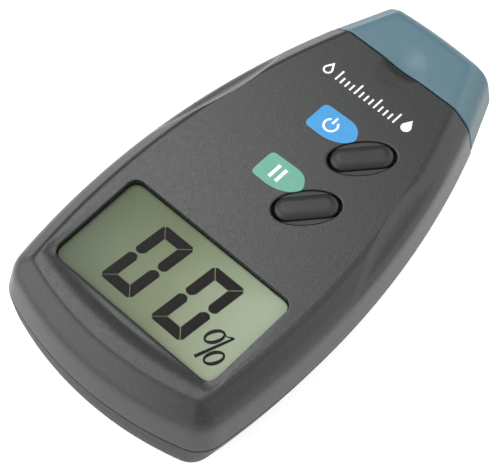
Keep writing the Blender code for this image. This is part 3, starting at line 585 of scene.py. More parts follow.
def eased_hole(bm, outline, radius, floor, height, steps=4):
    """Wall of an opening with a rounded edge; returns its outer and its lowest ring."""
    rings = [new_ring(bm, outline(radius + EDGE_BAND), height)]
    for i in range(steps + 1):
        turn = math.pi / 2 * i / steps
        grow = radius * (1 - math.sin(turn))
        sunk = radius * (1 - math.cos(turn))
        rings.append(new_ring(bm, outline(grow), lambda x, y: height(x, y) - sunk))
    rings.append(new_ring(bm, outline(0.0), floor))
    skin(bm, rings)
    return rings[0], rings[-1]


def bevel_spacing(depth):
    """Longest stretch of a section: short in the bevel, long in the wall."""
    return 0.27 if depth < 4.6 else 1.6


# ---------------------------------------------------------------- shells

def cavity_tool(name, section, half, limit_y):
    return stack(name, [(whole(half(depth, side, end, limit_y, PLAIN_STEPS)), level(depth))
                        for depth, side, end in section])


def rod(name, radius, low, high, steps=32):
    """Round bar between two points."""
    run = Vector(high) - Vector(low)
    bm = bmesh.new()
    bmesh.ops.create_cone(bm, cap_ends=True, segments=steps, radius1=radius, radius2=radius,
                          depth=run.length)
    turned = Vector((0, 0, 1)).rotation_difference(run).to_matrix().to_4x4()
    place = Matrix.Translation((Vector(low) + Vector(high)) / 2)
    bmesh.ops.transform(bm, matrix=place @ turned, verts=bm.verts)
    return place_mesh(name, bm)


def rods_at_screws(name, radius, low, high):
    return [rod(name, radius, (at.x, at.y, low), (at.x, at.y, high)) for at in SCREWS]


def block(name, low, high):
    bm = bmesh.new()
    bmesh.ops.create_cube(bm, size=1.0)
    low, high = Vector(low), Vector(high)
    bmesh.ops.scale(bm, vec=high - low, verts=bm.verts)
    bmesh.ops.translate(bm, vec=(low + high) / 2, verts=bm.verts)
    return place_mesh(name, bm)


def joint_spots(edge_x, base_y, shift):
    """A row of spots on the flat face, where the easing along the joint ends."""
    row = [(x, y + shift) for x, y in seam_line(edge_x, base_y)]
    return row + [(-x, y) for x, y in row[1:]]


def bevel_rings(bm):
    """Rings of the front shell's skin, with the finger scoops cut into them."""
    rings = []
    path = divided(eased(FRONT_SKIN), bevel_spacing)
    for depth, side, end in path:
        points = whole(case_half(depth, side, end, SHELL_TOP_Y, FINE_STEPS, SEAM_EASE))
        ring = []
        for x, y in points:
            cut = grip_cut(y, side) if y < SHELL_TOP_Y - 1 else 0.0
            out = cut * BEVEL_NORMAL[0] * (1 if x > 0 else -1)
            z = skin_height(depth, x, y) - cut * BEVEL_NORMAL[1]
            ring.append(bm.verts.new((x - out, y, z)))
        rings.append(ring)
    skin(bm, rings)
    return rings


def face_spots():
    """Spots of the front face: close together in the dish and the scoop, wide elsewhere."""
    low, high = (-HALF_WIDTH, END_Y), (HALF_WIDTH, SHELL_TOP_Y)
    dish = grid_spots(low, (HALF_WIDTH, WINDOW.y), 0.9,
                      lambda x, y: on_face(x, y, 0.35) and y < WINDOW.y - 3)
    scoop = grid_spots((-8.0, SEAM_Y - 9.0), (8.0, SEAM_Y), 0.7, lambda x, y: on_face(x, y, 0.4))
    plain = grid_spots(low, high, 3.0, lambda x, y: on_face(x, y, 1.5) and y > WINDOW.y
                       and (y < SEAM_Y - 10 or abs(x) > 9))
    edge_x = case_half_width(SHELL_TOP_Y, FRONT_SKIN[0][0][1])
    return dish + scoop + plain + joint_spots(edge_x, SHELL_TOP_Y, -SEAM_EASE)


def front_skin():
    """Solid outer form of the front shell, with its openings and hollows."""
    bm = bmesh.new()
    rings = bevel_rings(bm)
    tops, floors = [rings[0]], [rings[-1]]
    openings = [(window_outline, WINDOW_EDGE)]
    openings += [(lambda grow, at=at: oval(grow, at), OVAL_EDGE) for at in KEYS.values()]
    for outline, radius in openings:
        high, low = eased_hole(bm, outline, radius, FRONT_LOW.z, front_height)
        tops.append(high)
        floors.append(low)
    fill_plan(bm, tops, face_spots(), front_height)
    fill_plan(bm, floors)
    return place_mesh("front_shell_skin", bm)


def front_shell():
    shell = front_skin()
    cavity = cavity_tool("front_cavity", FRONT_CAVITY, case_half, SEAM_Y + CAVITY_PAST_SEAM)
    combine(cavity, rods_at_screws("boss", BOSS_RADIUS, BOSS_LOW, BOSS_TOP))
    pilots = rods_at_screws("pilot", PILOT_RADIUS, BOSS_LOW, PILOT_TOP)
    combine(shell, [cavity] + pilots)
    return dress(shell, look("case_grey"), "case", "case_grey", "front_shell")


def rear_form(name):
    """Solid outer form of the rear shell, the door included."""
    path = divided(eased(REAR_SKIN), lambda depth: 1.3)
    bm = bmesh.new()
    rings = []
    for depth, side, end in path:
        points = whole(case_half(depth, side, end, SHELL_TOP_Y, FINE_STEPS, SEAM_EASE))
        rings.append(new_ring(bm, points, level(depth)))
    skin(bm, rings)
    fill_plan(bm, [rings[0]])
    spots = grid_spots((-HALF_WIDTH, END_Y), (HALF_WIDTH, SHELL_TOP_Y), 2.5,
                       lambda x, y: abs(x) < case_half_width(y, 13.5)
                       and END_Y + 14.0 + x * x / END_BOW < y < SHELL_TOP_Y - 1.5)
    fill_plan(bm, [rings[-1]], spots, level(TOP))
    return place_mesh(name, bm)


def door_block(name, grow):
    """Block that separates the door from the rear shell."""
    half = DOOR_HIGH.x + grow
    return block(name, (-half, END_Y - 20, OUTSIDE), (half, DOOR_HIGH.y + grow, DOOR_HIGH.z + grow))


def rear_shell():
    shell = rear_form("rear_shell_skin")
    cavity = cavity_tool("rear_cavity", REAR_CAVITY, case_half, SEAM_Y + CAVITY_PAST_SEAM)
    standing = rods_at_screws("post", POST_RADIUS, OUTSIDE, TOP - PARTING - GAP)
    inner = DOOR_HIGH.x + RIB_CLEARANCE
    top = DOOR_HIGH.y + RIB_CLEARANCE
    for x in (inner, -inner - RIB):
        standing.append(block("rib", (x, RIB_LOW_Y, OUTSIDE), (x + RIB, top, RIB_TOP)))
    standing.append(block("bay_wall", (-inner - RIB, top - 0.01, OUTSIDE),
                          (inner + RIB, top + RIB, RIB_TOP)))
    combine(cavity, standing)
    sink_top = box_mm("case_screw_1")[0].z + SCREW_HEAD
    tools = [cavity, door_block("door_opening", GAP)]
    for pair in zip(rods_at_screws("screw_hole", SCREW_HOLE_RADIUS, OUTSIDE, SCREW_HOLE_TOP),
                    rods_at_screws("screw_sink", SCREW_SINK_RADIUS, OUTSIDE, sink_top)):
        tools += pair
    combine(shell, tools)
    return dress(shell, look("case_grey_rear_shaded"), "case", "case_grey", "rear_shell")


def battery_door():
    door = rear_form("battery_door_skin")
    cavity = cavity_tool("door_cavity", REAR_CAVITY, case_half, SEAM_Y + CAVITY_PAST_SEAM)
    combine(door, [cavity])
    combine(door, [door_block("door_shape", 0.0)], "INTERSECT")
    grooves = []
    for i in range(GROOVES):
        y = GROOVE_START_Y - GROOVE_PITCH * i
        grooves.append(rod("groove", GROOVE_RADIUS, (-GROOVE_REACH, y, -0.25),
                           (GROOVE_REACH, y, -0.25), 24))
    combine(door, grooves)
    return dress(door, look("case_grey_rear_shaded"), "door", "case_grey", "battery_door")


def on_cap(x, y):
    """True where the top of the cap has room for an inner spot."""
    clear = 0.5
    _, side_inset, end_inset = CAP_SKIN[0][0]
    side = case_half_width(SEAM_Y, side_inset) - CAP_TAPER * (y - SEAM_Y)
    end = CAP_END_Y - end_inset - clear - x * x / 280
    return abs(x) < side - clear and CAP_BASE_Y + SEAM_EASE + clear < y < end


def protective_cap():
    path = divided(eased(CAP_SKIN), lambda depth: 0.8)
    bm = bmesh.new()
    rings = []
    for depth, side, end in path:
        points = whole(cap_half(depth, side, end, CAP_BASE_Y, CAP_STEPS, SEAM_EASE))
        rings.append(new_ring(bm, points, level(depth)))
    skin(bm, rings)

    spots = grid_spots((-HALF_WIDTH, SEAM_Y), (HALF_WIDTH, CAP_END_Y), 0.8, on_cap)
    edge_x = case_half_width(SEAM_Y, CAP_SKIN[0][0][1]) - 0.1
    joint = joint_spots(edge_x, CAP_BASE_Y, SEAM_EASE)
    fill_plan(bm, [rings[0]], spots + joint, front_height)
    fill_plan(bm, [rings[-1]])
    cap = place_mesh("protective_cap_skin", bm)
    combine(cap, [cavity_tool("cap_cavity", CAP_CAVITY, cap_half, SEAM_Y - 4.0)])
    return dress(cap, look("cap_blue"), "cap", "cap_blue", "protective_cap")


# ---------------------------------------------------------------- keys

KEY_DOME = (((-3.9, 0.0), 0.0), ((0.1, 0.0), 0.45), ((0.75, 0.6), 0.8), ((1.08, 1.6), 0.9),
            ((1.1, 2.6), 0.5), ((1.1, 3.0), 0.0))      # ((height over the face, inset), easing)
KEY_FOOT_INSET = 0.5


def key_piece(name, body):
    at = KEYS[name]
    skirt_top, skirt_low = KEY_SKIRT_DEPTHS
    section = [(KEY_FOOT - TOP, KEY_SIZE, KEY_FOOT_INSET), (-skirt_low, KEY_SIZE, KEY_FOOT_INSET),
               (-skirt_low, KEY_SKIRT, 0.0), (-skirt_top, KEY_SKIRT, 0.0)]
    section += [(height, KEY_SIZE, inset) for height, inset in eased(KEY_DOME)]
    key = stack(name + "_key_dome", [(capsule(size, inset, at), TOP + height)
                                     for height, size, inset in section], 40.0)
    dress(key, look("key_rubber"), body, "key_rubber", name + "_key")


def membrane():
    """Rubber sheet under the face, with an oval collar around each key."""
    size = (MEMBRANE_HIGH.x - MEMBRANE_LOW.x, MEMBRANE_HIGH.y - MEMBRANE_LOW.y)
    centre = (MEMBRANE_HIGH + MEMBRANE_LOW) / 2
    sheet_plan = rounded_rectangle(size, 3.0, centre)
    sheet = stack("key_membrane_sheet", [(sheet_plan, TOP - depth)
                                         for depth in reversed(MEMBRANE_DEPTHS)])
    section = eased((((2.6, -COLLAR_GAP), 0.0), ((COLLAR_DEPTH, -COLLAR_GAP), 0.2),
                     ((COLLAR_DEPTH, -COLLAR_GAP - 0.8), 0.0)))
    room = (KEY_SIZE[0] + KEY_ROOM[0], KEY_SIZE[1])
    collars, holes = [], []
    for at in KEYS.values():
        collars.append(stack("collar", [(oval(grow, at), TOP - depth) for depth, grow in section]))
        hole = capsule(room, -KEY_ROOM[1], at)
        holes.append(stack("key_hole", [(hole, TOP - 6.0), (hole, TOP)]))
    combine(sheet, collars, "UNION")
    combine(sheet, holes)
    dress(sheet, look("membrane_rubber"), "case", "key_rubber", "key_membrane")


# ---------------------------------------------------------------- display and markings

LENS_SINK = 0.24              # the clear plate lies this far under its place in the CAD
SEGMENT_LIFT = 0.03
DIGIT_SIZE = (9.55, 19.4)
DIGIT_STROKE = 2.75
DIGIT_GAP = 0.11
DIGIT_CORNER = 0.75           # chamfer of the outer corners
DIGIT_SLANT = 0.096
DIGIT_PLACES = ((-13.03, -10.02), (2.67, -10.02))    # lower left corners from the window's middle
PERCENT_OVALS = ((16.86, -3.81), (20.4, -7.75))
PERCENT_LONG = (1.26, 2.21)   # half axes of the slanted ovals
PERCENT_SHORT = (-1.47, 0.96)
PERCENT_BAR = ((16.98, -10.38), (20.35, -1.19))
PERCENT_TAIL = ((17.6, -1.75), (18.9, -2.0))
PRINT_LOW = 0.006
PRINT_HIGH = 0.045
LABEL_CORNERS = (((-6.4, 4.2), 0.0), ((-6.4, 0.3), 1.4), ((0.4, 0.3), 2.4), ((4.3, 2.1), 1.6),
                 ((6.05, 4.7), 1.1), ((4.4, 7.4), 1.6), ((2.2, 8.25), 1.2), ((-6.3, 7.95), 1.4),
                 ((-6.4, 4.2), 0.0))
LABEL_SHIFT = {"power": 18.4, "hold": 0.0}
SYMBOL_PLACE = (-1.3, 4.2)
SCALE_SPAN = (-13.7, 13.1)
SCALE_Y = (32.7, 36.5)
SCALE_MARKS = 13


def prism_piece(name, outlines, low, high):
    """Flat piece made of one or more closed outlines."""
    bm = bmesh.new()
    for outline in outlines:
        rings = [new_ring(bm, outline, height) for height in (low, high)]
        skin(bm, rings)
        bm.faces.new(rings[0])
        bm.faces.new(rings[1])
    return place_mesh(name, bm)


def band(centre, size, width, start, end, steps=32):
    """Outline of a curved stroke, part of an ellipse."""
    turns = [start + (end - start) * i / steps for i in range(steps + 1)]
    outer = [(centre[0] + size[0] * math.cos(t), centre[1] + size[1] * math.sin(t))
             for t in turns]
    inner = [(centre[0] + (size[0] - width) * math.cos(t),
              centre[1] + (size[1] - width) * math.sin(t)) for t in turns]
    return outer + inner[::-1]


def digit_outlines(place):
    """The six outer segments of a seven-segment nought."""
    width, height = DIGIT_SIZE
    stroke, gap, corner = DIGIT_STROKE, DIGIT_GAP, DIGIT_CORNER
    half = height / 2
    across = [(corner + gap, height), (width - corner - gap, height),
              (width - corner / 2 - gap, height - corner / 2),
              (width - stroke - gap, height - stroke), (stroke + gap, height - stroke),
              (corner / 2 + gap, height - corner / 2)]
    upright = [(0.0, height - corner - gap), (corner / 2, height - corner / 2 - gap),
               (stroke, height - stroke - gap), (stroke, half + 1.25), (0.7 * stroke, half + 0.3),
               (0.3 * stroke, half + 0.3), (0.0, half + 0.95)]
    shapes = [across, upright]
    shapes += [[(width - x, y) for x, y in upright]]
    shapes += [[(x, height - y) for x, y in shape] for shape in list(shapes)]
    made = []
    for shape in shapes:
        made.append([(WINDOW.x + place[0] + x + DIGIT_SLANT * y, WINDOW.y + place[1] + y)
                     for x, y in shape])
    return made


def stroke(start, end, first, last):
    """Outline of a straight stroke that changes width."""
    start, end = Vector(start), Vector(end)
    side = (end - start).orthogonal().normalized()
    return [tuple(start - side * first / 2), tuple(start + side * first / 2),
            tuple(end + side * last / 2), tuple(end - side * last / 2)]


def percent_outlines():
    """Percent sign with bold sides, in three parts and a short tail."""
    middle = Vector((WINDOW.x, WINDOW.y))
    long_axis, short_axis = Vector(PERCENT_LONG), Vector(PERCENT_SHORT)
    shapes = []
    for spot in PERCENT_OVALS:
        for start in (0.0, math.pi):
            outer, inner = [], []
            for i in range(21):
                turn = start + math.pi * i / 20
                along, across = long_axis * math.cos(turn), short_axis * math.sin(turn)
                outer.append(tuple(middle + Vector(spot) + along + across))
                inner.append(tuple(middle + Vector(spot) + 0.8 * along + 0.48 * across))
            shapes.append(outer + inner[::-1])
    low, high = (middle + Vector(spot) for spot in PERCENT_BAR)
    shapes.append(stroke(low, high, 0.85, 0.6))
    first, second = (middle + Vector(spot) for spot in PERCENT_TAIL)
    shapes.append(stroke(first, second, 0.25, 0.3))
    shapes.append(stroke(second, high, 0.3, 0.45))
    return shapes


def display():
    """The clear plate, and the dark segments over the panel."""
    section = eased((((LENS_LOW.z, -GAP - 0.06), 0.0), ((LENS_LOW.z, -GAP), 0.05),
                     ((LENS_HIGH.z - LENS_SINK, -GAP), 0.05),
                     ((LENS_HIGH.z - LENS_SINK, -GAP - 0.5), 0.0)))
    lens = stack("display_lens_plate", [(window_outline(grow), z) for z, grow in section], 20.0)
    dress(lens, clear_lens(), "case", "clear_lens", "display_lens")

    ink_low, ink_high = LCD_TOP + 0.002, LCD_TOP + SEGMENT_LIFT
    for name, place in zip(("tens", "units"), DIGIT_PLACES):
        for i, outline in enumerate(digit_outlines(place)):
            segment = prism_piece("lcd_%s_segment_%d" % (name, i + 1), [outline],
                                  ink_low, ink_high)
            dress(segment, look("lcd_ink"), "case", "lcd")
    sign = prism_piece("lcd_percent_sign", percent_outlines(), ink_low, ink_high)
    dress(sign, look("lcd_ink"), "case", "lcd")


def label_outline(shift):
    corners = [((x, y + shift), ease) for (x, y), ease in LABEL_CORNERS]
    return [tuple(spot) for spot in eased(corners, 8)][:-1]


def drop_outline(x, low_y, high_y, grow=0.0):
    """Water drop with its point up."""
    tall = high_y - low_y
    radius = 0.34 * tall
    centre_y = low_y + radius
    points = []
    for i in range(25):
        turn = math.radians(-220 + 260 * i / 24)
        points.append((x + (radius + grow) * math.cos(turn),
                       centre_y + (radius + grow) * math.sin(turn)))
    points.append((x, high_y + 1.6 * grow))
    return points


def upright_bar(x, low, high, half):
    """Outline of a bar around x, from low to high."""
    return [(x - half, low), (x + half, low), (x + half, high), (x - half, high)]


def printed(name, outlines, low, high, tint="white_print"):
    dress(prism_piece(name, outlines, low, high), look(tint), "case", "case_grey")


def key_labels(low, high):
    """Blue and green labels with plain symbols: power, and pause for hold."""
    for name, tint in (("power", "label_blue"), ("hold", "label_green")):
        printed(name + "_label", [label_outline(LABEL_SHIFT[name])], low, high, tint)
    over = high + 0.002
    x, middle = SYMBOL_PLACE
    y = middle + LABEL_SHIFT["power"] - 0.15
    circle = band((x, y), (2.0, 2.0), 0.55, math.radians(125), math.radians(415), 40)
    stem = upright_bar(x, y + 0.5, y + 2.5, 0.28)
    printed("power_symbol", [circle, stem], over, over + 0.02)
    y = middle + LABEL_SHIFT["hold"]
    bars = [upright_bar(x + shift, y - 2.0, y + 2.0, 0.45) for shift in (-1.0, 1.0)]
    printed("hold_symbol", bars, over, over + 0.02)


def moisture_scale(low, high):
    """An empty drop, a row of marks and a full drop."""
    left, right = SCALE_SPAN
    bottom, top = SCALE_Y
    empty = drop_outline(left + 1.2, bottom, top)
    inner = drop_outline(left + 1.2, bottom + 0.42, top - 0.9, -0.05)
    printed("scale_drop_empty", ring_pieces(empty, inner), low, high)
    printed("scale_drop_full", [drop_outline(right - 1.2, bottom, top)], low, high)
    marks = []
    for i in range(SCALE_MARKS):
        spot = left + 4.4 + (right - left - 8.8) * i / (SCALE_MARKS - 1)
        tall = 3.2 if i % 4 == 0 else 1.9
        marks.append(upright_bar(spot, bottom + 0.2, bottom + 0.2 + tall, 0.24))
    printed("scale_marks", marks, low, high)


def ring_pieces(outer, inner):
    """Two closed outlines that make a ring between two loops with the same count."""
    half = len(outer) // 2
    first = outer[:half + 1] + inner[:half + 1][::-1]
    second = outer[half:] + [outer[0]] + [inner[0]] + inner[half:][::-1]
    return [first, second]


# ---------------------------------------------------------------- pins and inner pieces

def turned_piece(name, profile, at, steps=48):
    """Piece turned about an axis along Y; profile is (radius, y) from its back end."""
    bm = bmesh.new()
    rings = []
    for radius, y in profile:
        ring = []
        for i in range(steps):
            turn = math.tau * i / steps
            ring.append(bm.verts.new((at.x + radius * math.cos(turn), y,
                                      at.z + radius * math.sin(turn))))
        rings.append(ring)
    skin(bm, rings)
    bm.faces.new(rings[0])
    bm.faces.new(rings[-1])
    return place_mesh(name, bm)


def probe_pins():
    for i, at in enumerate(PINS):
        node = "probe_pin_%d" % (i + 1)
        low, high = box_mm(node)
        radius = (high.x - low.x) / 2
        profile = [(radius - 0.12, low.y), (radius, low.y + 0.12), (radius, high.y - 5.0)]
        for k in range(1, 9):
            share = k / 8
            taper = radius + (0.06 - radius) * (0.35 * share + 0.65 * share ** 2.2)
            profile.append((taper, high.y - 5.0 * (1 - share)))
        pin = turned_piece(node + "_needle", profile, at)
        dress(pin, look("steel"), "case", "steel", node)


def refined(node, name, ease=0.1, sharp=30.0, slot=None):
    """An eased copy of a CAD node, with a look that is named like its slot if none is given."""
    source = frame["nodes"][node]
    bm = bmesh.new()
    verts = [bm.verts.new(vert.co / MM) for vert in source.data.vertices]
    for polygon in source.data.polygons:
        bm.faces.new([verts[i] for i in polygon.vertices])
    bmesh.ops.remove_doubles(bm, verts=bm.verts, dist=0.002)
    bmesh.ops.recalc_face_normals(bm, faces=bm.faces)
    bmesh.ops.dissolve_limit(bm, angle_limit=math.radians(0.5), verts=bm.verts, edges=bm.edges)
    if ease:
        edges = [edge for edge in bm.edges
                 if len(edge.link_faces) == 2 and edge.calc_face_angle() > math.radians(35)]
        bmesh.ops.bevel(bm, geom=edges, offset=ease, offset_type="OFFSET", segments=2,
                        profile=0.5, affect="EDGES", clamp_overlap=True)
    piece = place_mesh(node + "_eased", bm, sharp)
    return dress(piece, look(name), source["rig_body"], slot or name, node)


def inner_pieces():
    for i in range(1, 5):
        refined("pin_nut_%d" % i, "brass")
        refined("board_screw_%d" % i, "steel", 0.06)
        refined("case_screw_%d" % i, "steel", 0.06)
        refined("pin_lead_%d" % i, "wire_blue" if i < 3 else "wire_red", 0.0, 60.0)
    refined("probe_head", "black_plastic", 0.2)
    refined("lcd_panel", "lcd", 0.05)
    refined("lcd_frame", "white_plastic", 0.15)
    refined("zebra_strip_upper", "zebra_silicone")
    refined("zebra_strip_lower", "zebra_silicone")
    refined("power_switch", "black_plastic", 0.15)
    refined("hold_switch", "black_plastic", 0.15)
    refined("power_switch_stem", "stem_white")
    refined("hold_switch_stem", "stem_white")
    refined("main_board", "board_green", 0.06, slot="board")
    refined("controller_blob", "black_plastic", 0.3, 60.0)
    refined("timing_crystal", "steel", 0.2)
    refined("smoothing_capacitor", "capacitor_sleeve", 0.25)
    refined("calibration_trimmer", "trimmer_blue", 0.15)
    refined("battery", "battery_jacket", 0.6)
    refined("battery_terminal_positive", "steel")
    refined("battery_terminal_negative", "steel")
    refined("battery_clip", "black_plastic", 0.3)
    refined("battery_lead_red", "wire_red", 0.0, 60.0)
    refined("battery_lead_black", "wire_black", 0.0, 60.0)


# ---------------------------------------------------------------- materials

def tone(colour):
    """Scene-linear colour from display values of 0 to 255."""
    made = []
    for part in colour:
        share = part / 255
        made.append(share / 12.92 if share <= 0.04045 else ((share + 0.055) / 1.055) ** 2.4)
    return made + [1.0]


def scaled(colour, factor):
    return tuple(min(255, part * factor) for part in colour)


def feed(tree, socket, value):
    """Link another node's output to a socket, or set the socket's own value."""
    if isinstance(value, bpy.types.NodeSocket):
        tree.links.new(value, socket)
    else:
        socket.default_value = value


def add_node(tree, kind, **inputs):
    """New shader node; spaces in the names of its inputs are written as underscores."""
    made = tree.nodes.new("ShaderNode" + kind)
    for name, value in inputs.items():
        feed(tree, made.inputs[name.replace("_", " ")], value)
    return made


def calculated(tree, kind, operation, *values):
    """Result of a Math or a VectorMath node."""
    made = add_node(tree, kind)
    made.operation = operation
    for socket, value in zip(made.inputs, values):
        feed(tree, socket, value)
    return made.outputs["Value"]


def own_place(tree):
    """The piece's own coordinates."""
    return add_node(tree, "TexCoord").outputs["Object"]


def noise(tree, scale, detail=2.0, stretch=None):
    place = own_place(tree)
    if stretch:
        place = add_node(tree, "Mapping", Vector=place, Scale=stretch).outputs["Vector"]
    return add_node(tree, "TexNoise", Vector=place, Scale=scale, Detail=detail).outputs["Fac"]


def colour_ramp(tree, factor, stops):
    made = add_node(tree, "ValToRGB", Fac=factor)
    elements = made.color_ramp.elements
    for _ in range(len(stops) - 2):
        elements.new(0.5)
    for element, (spot, colour) in zip(elements, stops):
        element.position = spot
        element.color = colour
    return made.outputs["Color"]


def spread(tree, factor, low, high, source_low=0.3, source_high=0.7):
    """Map a factor, a noise for instance, to a range of values."""
    made = add_node(tree, "MapRange", Value=factor, From_Min=source_low, From_Max=source_high,
                    To_Min=low, To_Max=high)
    return made.outputs["Result"]


def share_along(tree, source, axis, low, high):
    """Nought to one between two places on an axis, given in millimetres."""
    parts = add_node(tree, "SeparateXYZ", Vector=source)
    return spread(tree, parts.outputs[axis], 0.0, 1.0, low * MM, high * MM)


def bump_on(tree, shader, height, strength, relief):
    made = add_node(tree, "Bump", Height=height, Strength=strength, Distance=relief * MM)
    tree.links.new(made.outputs["Normal"], shader.inputs["Normal"])


def mix_colours(tree, factor, first, second):
    made = add_node(tree, "Mix")
    made.data_type = "RGBA"
    feed(tree, made.inputs["Factor"], factor)
    feed(tree, made.inputs[6], first)        # the sockets A, B and Result for colours
    feed(tree, made.inputs[7], second)
    return made.outputs[2]


def worn_edges(tree, most):
    """Nought on flat places, up to a share on outer edges, in patches."""
    shape = add_node(tree, "NewGeometry")
    edges = spread(tree, shape.outputs["Pointiness"], 0.0, 1.0, 0.52, 0.6)
    patches = spread(tree, noise(tree, 420.0), 0.15 * most, most)
    return calculated(tree, "Math", "MULTIPLY", edges, patches)


def surface(name, colour, roughness, grain=1500.0, bump=0.15, relief=0.05, mottle=0.05,
            speckle=0.04, gloss_spread=0.03, wear=0.12, worn_share=1.0, stretch=None,
            base=None, **shader_values):
    """Material with a fine grain, uneven colour and gloss, and paler worn edges."""
    found = bpy.data.materials.get(name)
    if found:
        return found
    made = bpy.data.materials.new(name)
    made.use_nodes = True
    tree = made.node_tree
    shader = tree.nodes["Principled BSDF"]
    for key, value in shader_values.items():
        shader.inputs[key.replace("_", " ")].default_value = value
    fine = noise(tree, grain, 3.0, stretch)
    if base:
        plain = base(tree)
    else:
        stops = ((0.3, tone(scaled(colour, 1 - mottle))), (0.7, tone(scaled(colour, 1 + mottle))))
        mottled = colour_ramp(tree, noise(tree, 90.0), stops)
        dots = spread(tree, fine, 0.0, 1.0, 0.5, 0.8)
        plain = mix_colours(tree, dots, mottled, tone(scaled(colour, 1 + speckle)))
    worn = worn_edges(tree, worn_share)
    finish = mix_colours(tree, worn, plain, tone(scaled(colour, 1 + wear)))
    tree.links.new(finish, shader.inputs["Base Color"])
    gloss = spread(tree, noise(tree, 900.0), roughness - gloss_spread, roughness + gloss_spread)
    tree.links.new(gloss, shader.inputs["Roughness"])
    bump_on(tree, shader, fine, bump, relief)
    return made


def cap_painted_side_shade(tree):
    """Blue-grey, with painted shade: a little darker down the sides."""
    share = share_along(tree, own_place(tree), "Z", TOP - 7.0, TOP - 0.8)
    return colour_ramp(tree, share, ((0.0, tone((56, 80, 88))), (1.0, tone((86, 117, 128)))))


def silicone_stripes(tree):
    """Grey silicone with fine dark conducting stripes."""
    wave = add_node(tree, "TexWave", Vector=own_place(tree), Scale=500.0, Distortion=0.3)
    wave.bands_direction = "X"
    return colour_ramp(tree, wave.outputs["Fac"],
                       ((0.45, tone((60, 56, 58))), (0.55, tone((172, 160, 160)))))


def board_tracks(tree):
    """Green solder mask over a faint pattern of copper tracks."""
    cells = add_node(tree, "TexVoronoi", Vector=own_place(tree), Scale=260.0)
    cells.distance = "MANHATTAN"
    return colour_ramp(tree, cells.outputs["Distance"],
                       ((0.28, tone((38, 108, 66))), (0.36, tone((22, 78, 46)))))


def battery_sleeve(tree):
    """Printed metal jacket: a dark sleeve with a copper-coloured end."""
    low, high = box_mm("battery")
    share = share_along(tree, own_place(tree), "Y", low.y, high.y)
    return colour_ramp(tree, share, ((0.70, tone((30, 31, 34))), (0.71, tone((176, 108, 58)))))


def lcd_painted_reflection(tree):
    """Grey-green with a painted reflection: darker towards one corner, paler towards the other."""
    slope = math.radians(20)
    turn = add_node(tree, "Mapping", Vector=own_place(tree), Rotation=(0.0, 0.0, -slope))
    middle = WINDOW.x * math.cos(slope) + WINDOW.y * math.sin(slope)
    share = share_along(tree, turn.outputs["Vector"], "X", middle - 26, middle + 26)
    return colour_ramp(tree, share, ((0.0, tone((80, 92, 70))), (0.5, tone((117, 127, 97))),
                                     (1.0, tone((169, 181, 157)))))


# Each look's arguments of surface(). The rear shell is of the front's plastic, with a duller skin
# and a slightly darker colour that is painted shade, and the ink of the display has next to no
# shine of its own.
LOOKS = {
    "case_grey": dict(colour=(40, 41, 41), roughness=0.32, grain=2600.0, bump=0.9,
                      relief=0.035, mottle=0.008, speckle=0.5),
    # a little darker than the front's plastic: painted shade on the underside
    "case_grey_rear_shaded": dict(colour=(36, 37, 37), roughness=0.5, grain=2600.0, bump=0.9,
                           relief=0.035, mottle=0.008, speckle=0.4, Specular_IOR_Level=0.15),
    "cap_blue": dict(colour=(86, 117, 128), roughness=0.38, bump=0.5, base=cap_painted_side_shade,
                     Specular_IOR_Level=0.4),
    "key_rubber": dict(colour=(33, 33, 34), roughness=0.42, grain=2200.0, mottle=0.06),
    "membrane_rubber": dict(colour=(52, 53, 53), roughness=0.6, grain=2200.0, bump=0.2,
                            mottle=0.06),
    "black_plastic": dict(colour=(34, 34, 35), roughness=0.42, mottle=0.06),
    "white_plastic": dict(colour=(205, 205, 199), roughness=0.5, mottle=0.02, wear=0.04),
    "white_print": dict(colour=(246, 247, 246), roughness=0.55, mottle=0.02, wear=0.0),
    "label_blue": dict(colour=(56, 146, 206), roughness=0.42, mottle=0.03, wear=0.05),
    "label_green": dict(colour=(97, 162, 140), roughness=0.42, mottle=0.03, wear=0.05),
    "steel": dict(colour=(196, 198, 201), roughness=0.26, grain=900.0, bump=0.1, wear=0.06,
                  stretch=(6.0, 1.0, 6.0), Metallic=1.0),
    "brass": dict(colour=(206, 170, 98), roughness=0.3, grain=900.0, bump=0.1, wear=0.08,
                  Metallic=1.0),
    "zebra_silicone": dict(colour=(172, 160, 160), roughness=0.6, base=silicone_stripes),
    "board_green": dict(colour=(24, 84, 50), roughness=0.35, base=board_tracks, wear=0.2),
    "battery_jacket": dict(colour=(60, 60, 62), roughness=0.35, base=battery_sleeve,
                           Metallic=0.6),
    "wire_red": dict(colour=(172, 30, 28), roughness=0.45),
    "wire_black": dict(colour=(28, 28, 29), roughness=0.45),
    "wire_blue": dict(colour=(36, 66, 150), roughness=0.45),
    "capacitor_sleeve": dict(colour=(34, 38, 62), roughness=0.35),
    "trimmer_blue": dict(colour=(40, 84, 158), roughness=0.4),
    "stem_white": dict(colour=(222, 220, 212), roughness=0.45),
    "lcd": dict(colour=(117, 127, 97), roughness=0.35, grain=2600.0, bump=0.03, base=lcd_painted_reflection,
                gloss_spread=0.005, worn_share=0.1, Specular_IOR_Level=0.25),
    "lcd_ink": dict(colour=(22, 20, 17), roughness=0.5, grain=2600.0, bump=0.03, wear=0.0,
                    Specular_IOR_Level=0.03),
    "floor": dict(colour=(248, 248, 248), roughness=0.8, grain=300.0, bump=0.02, mottle=0.005,
                  wear=0.0, Emission_Color=(1.0, 1.0, 1.0, 1.0)),
}


def look(name):
    return surface(name + "_look", **LOOKS[name])


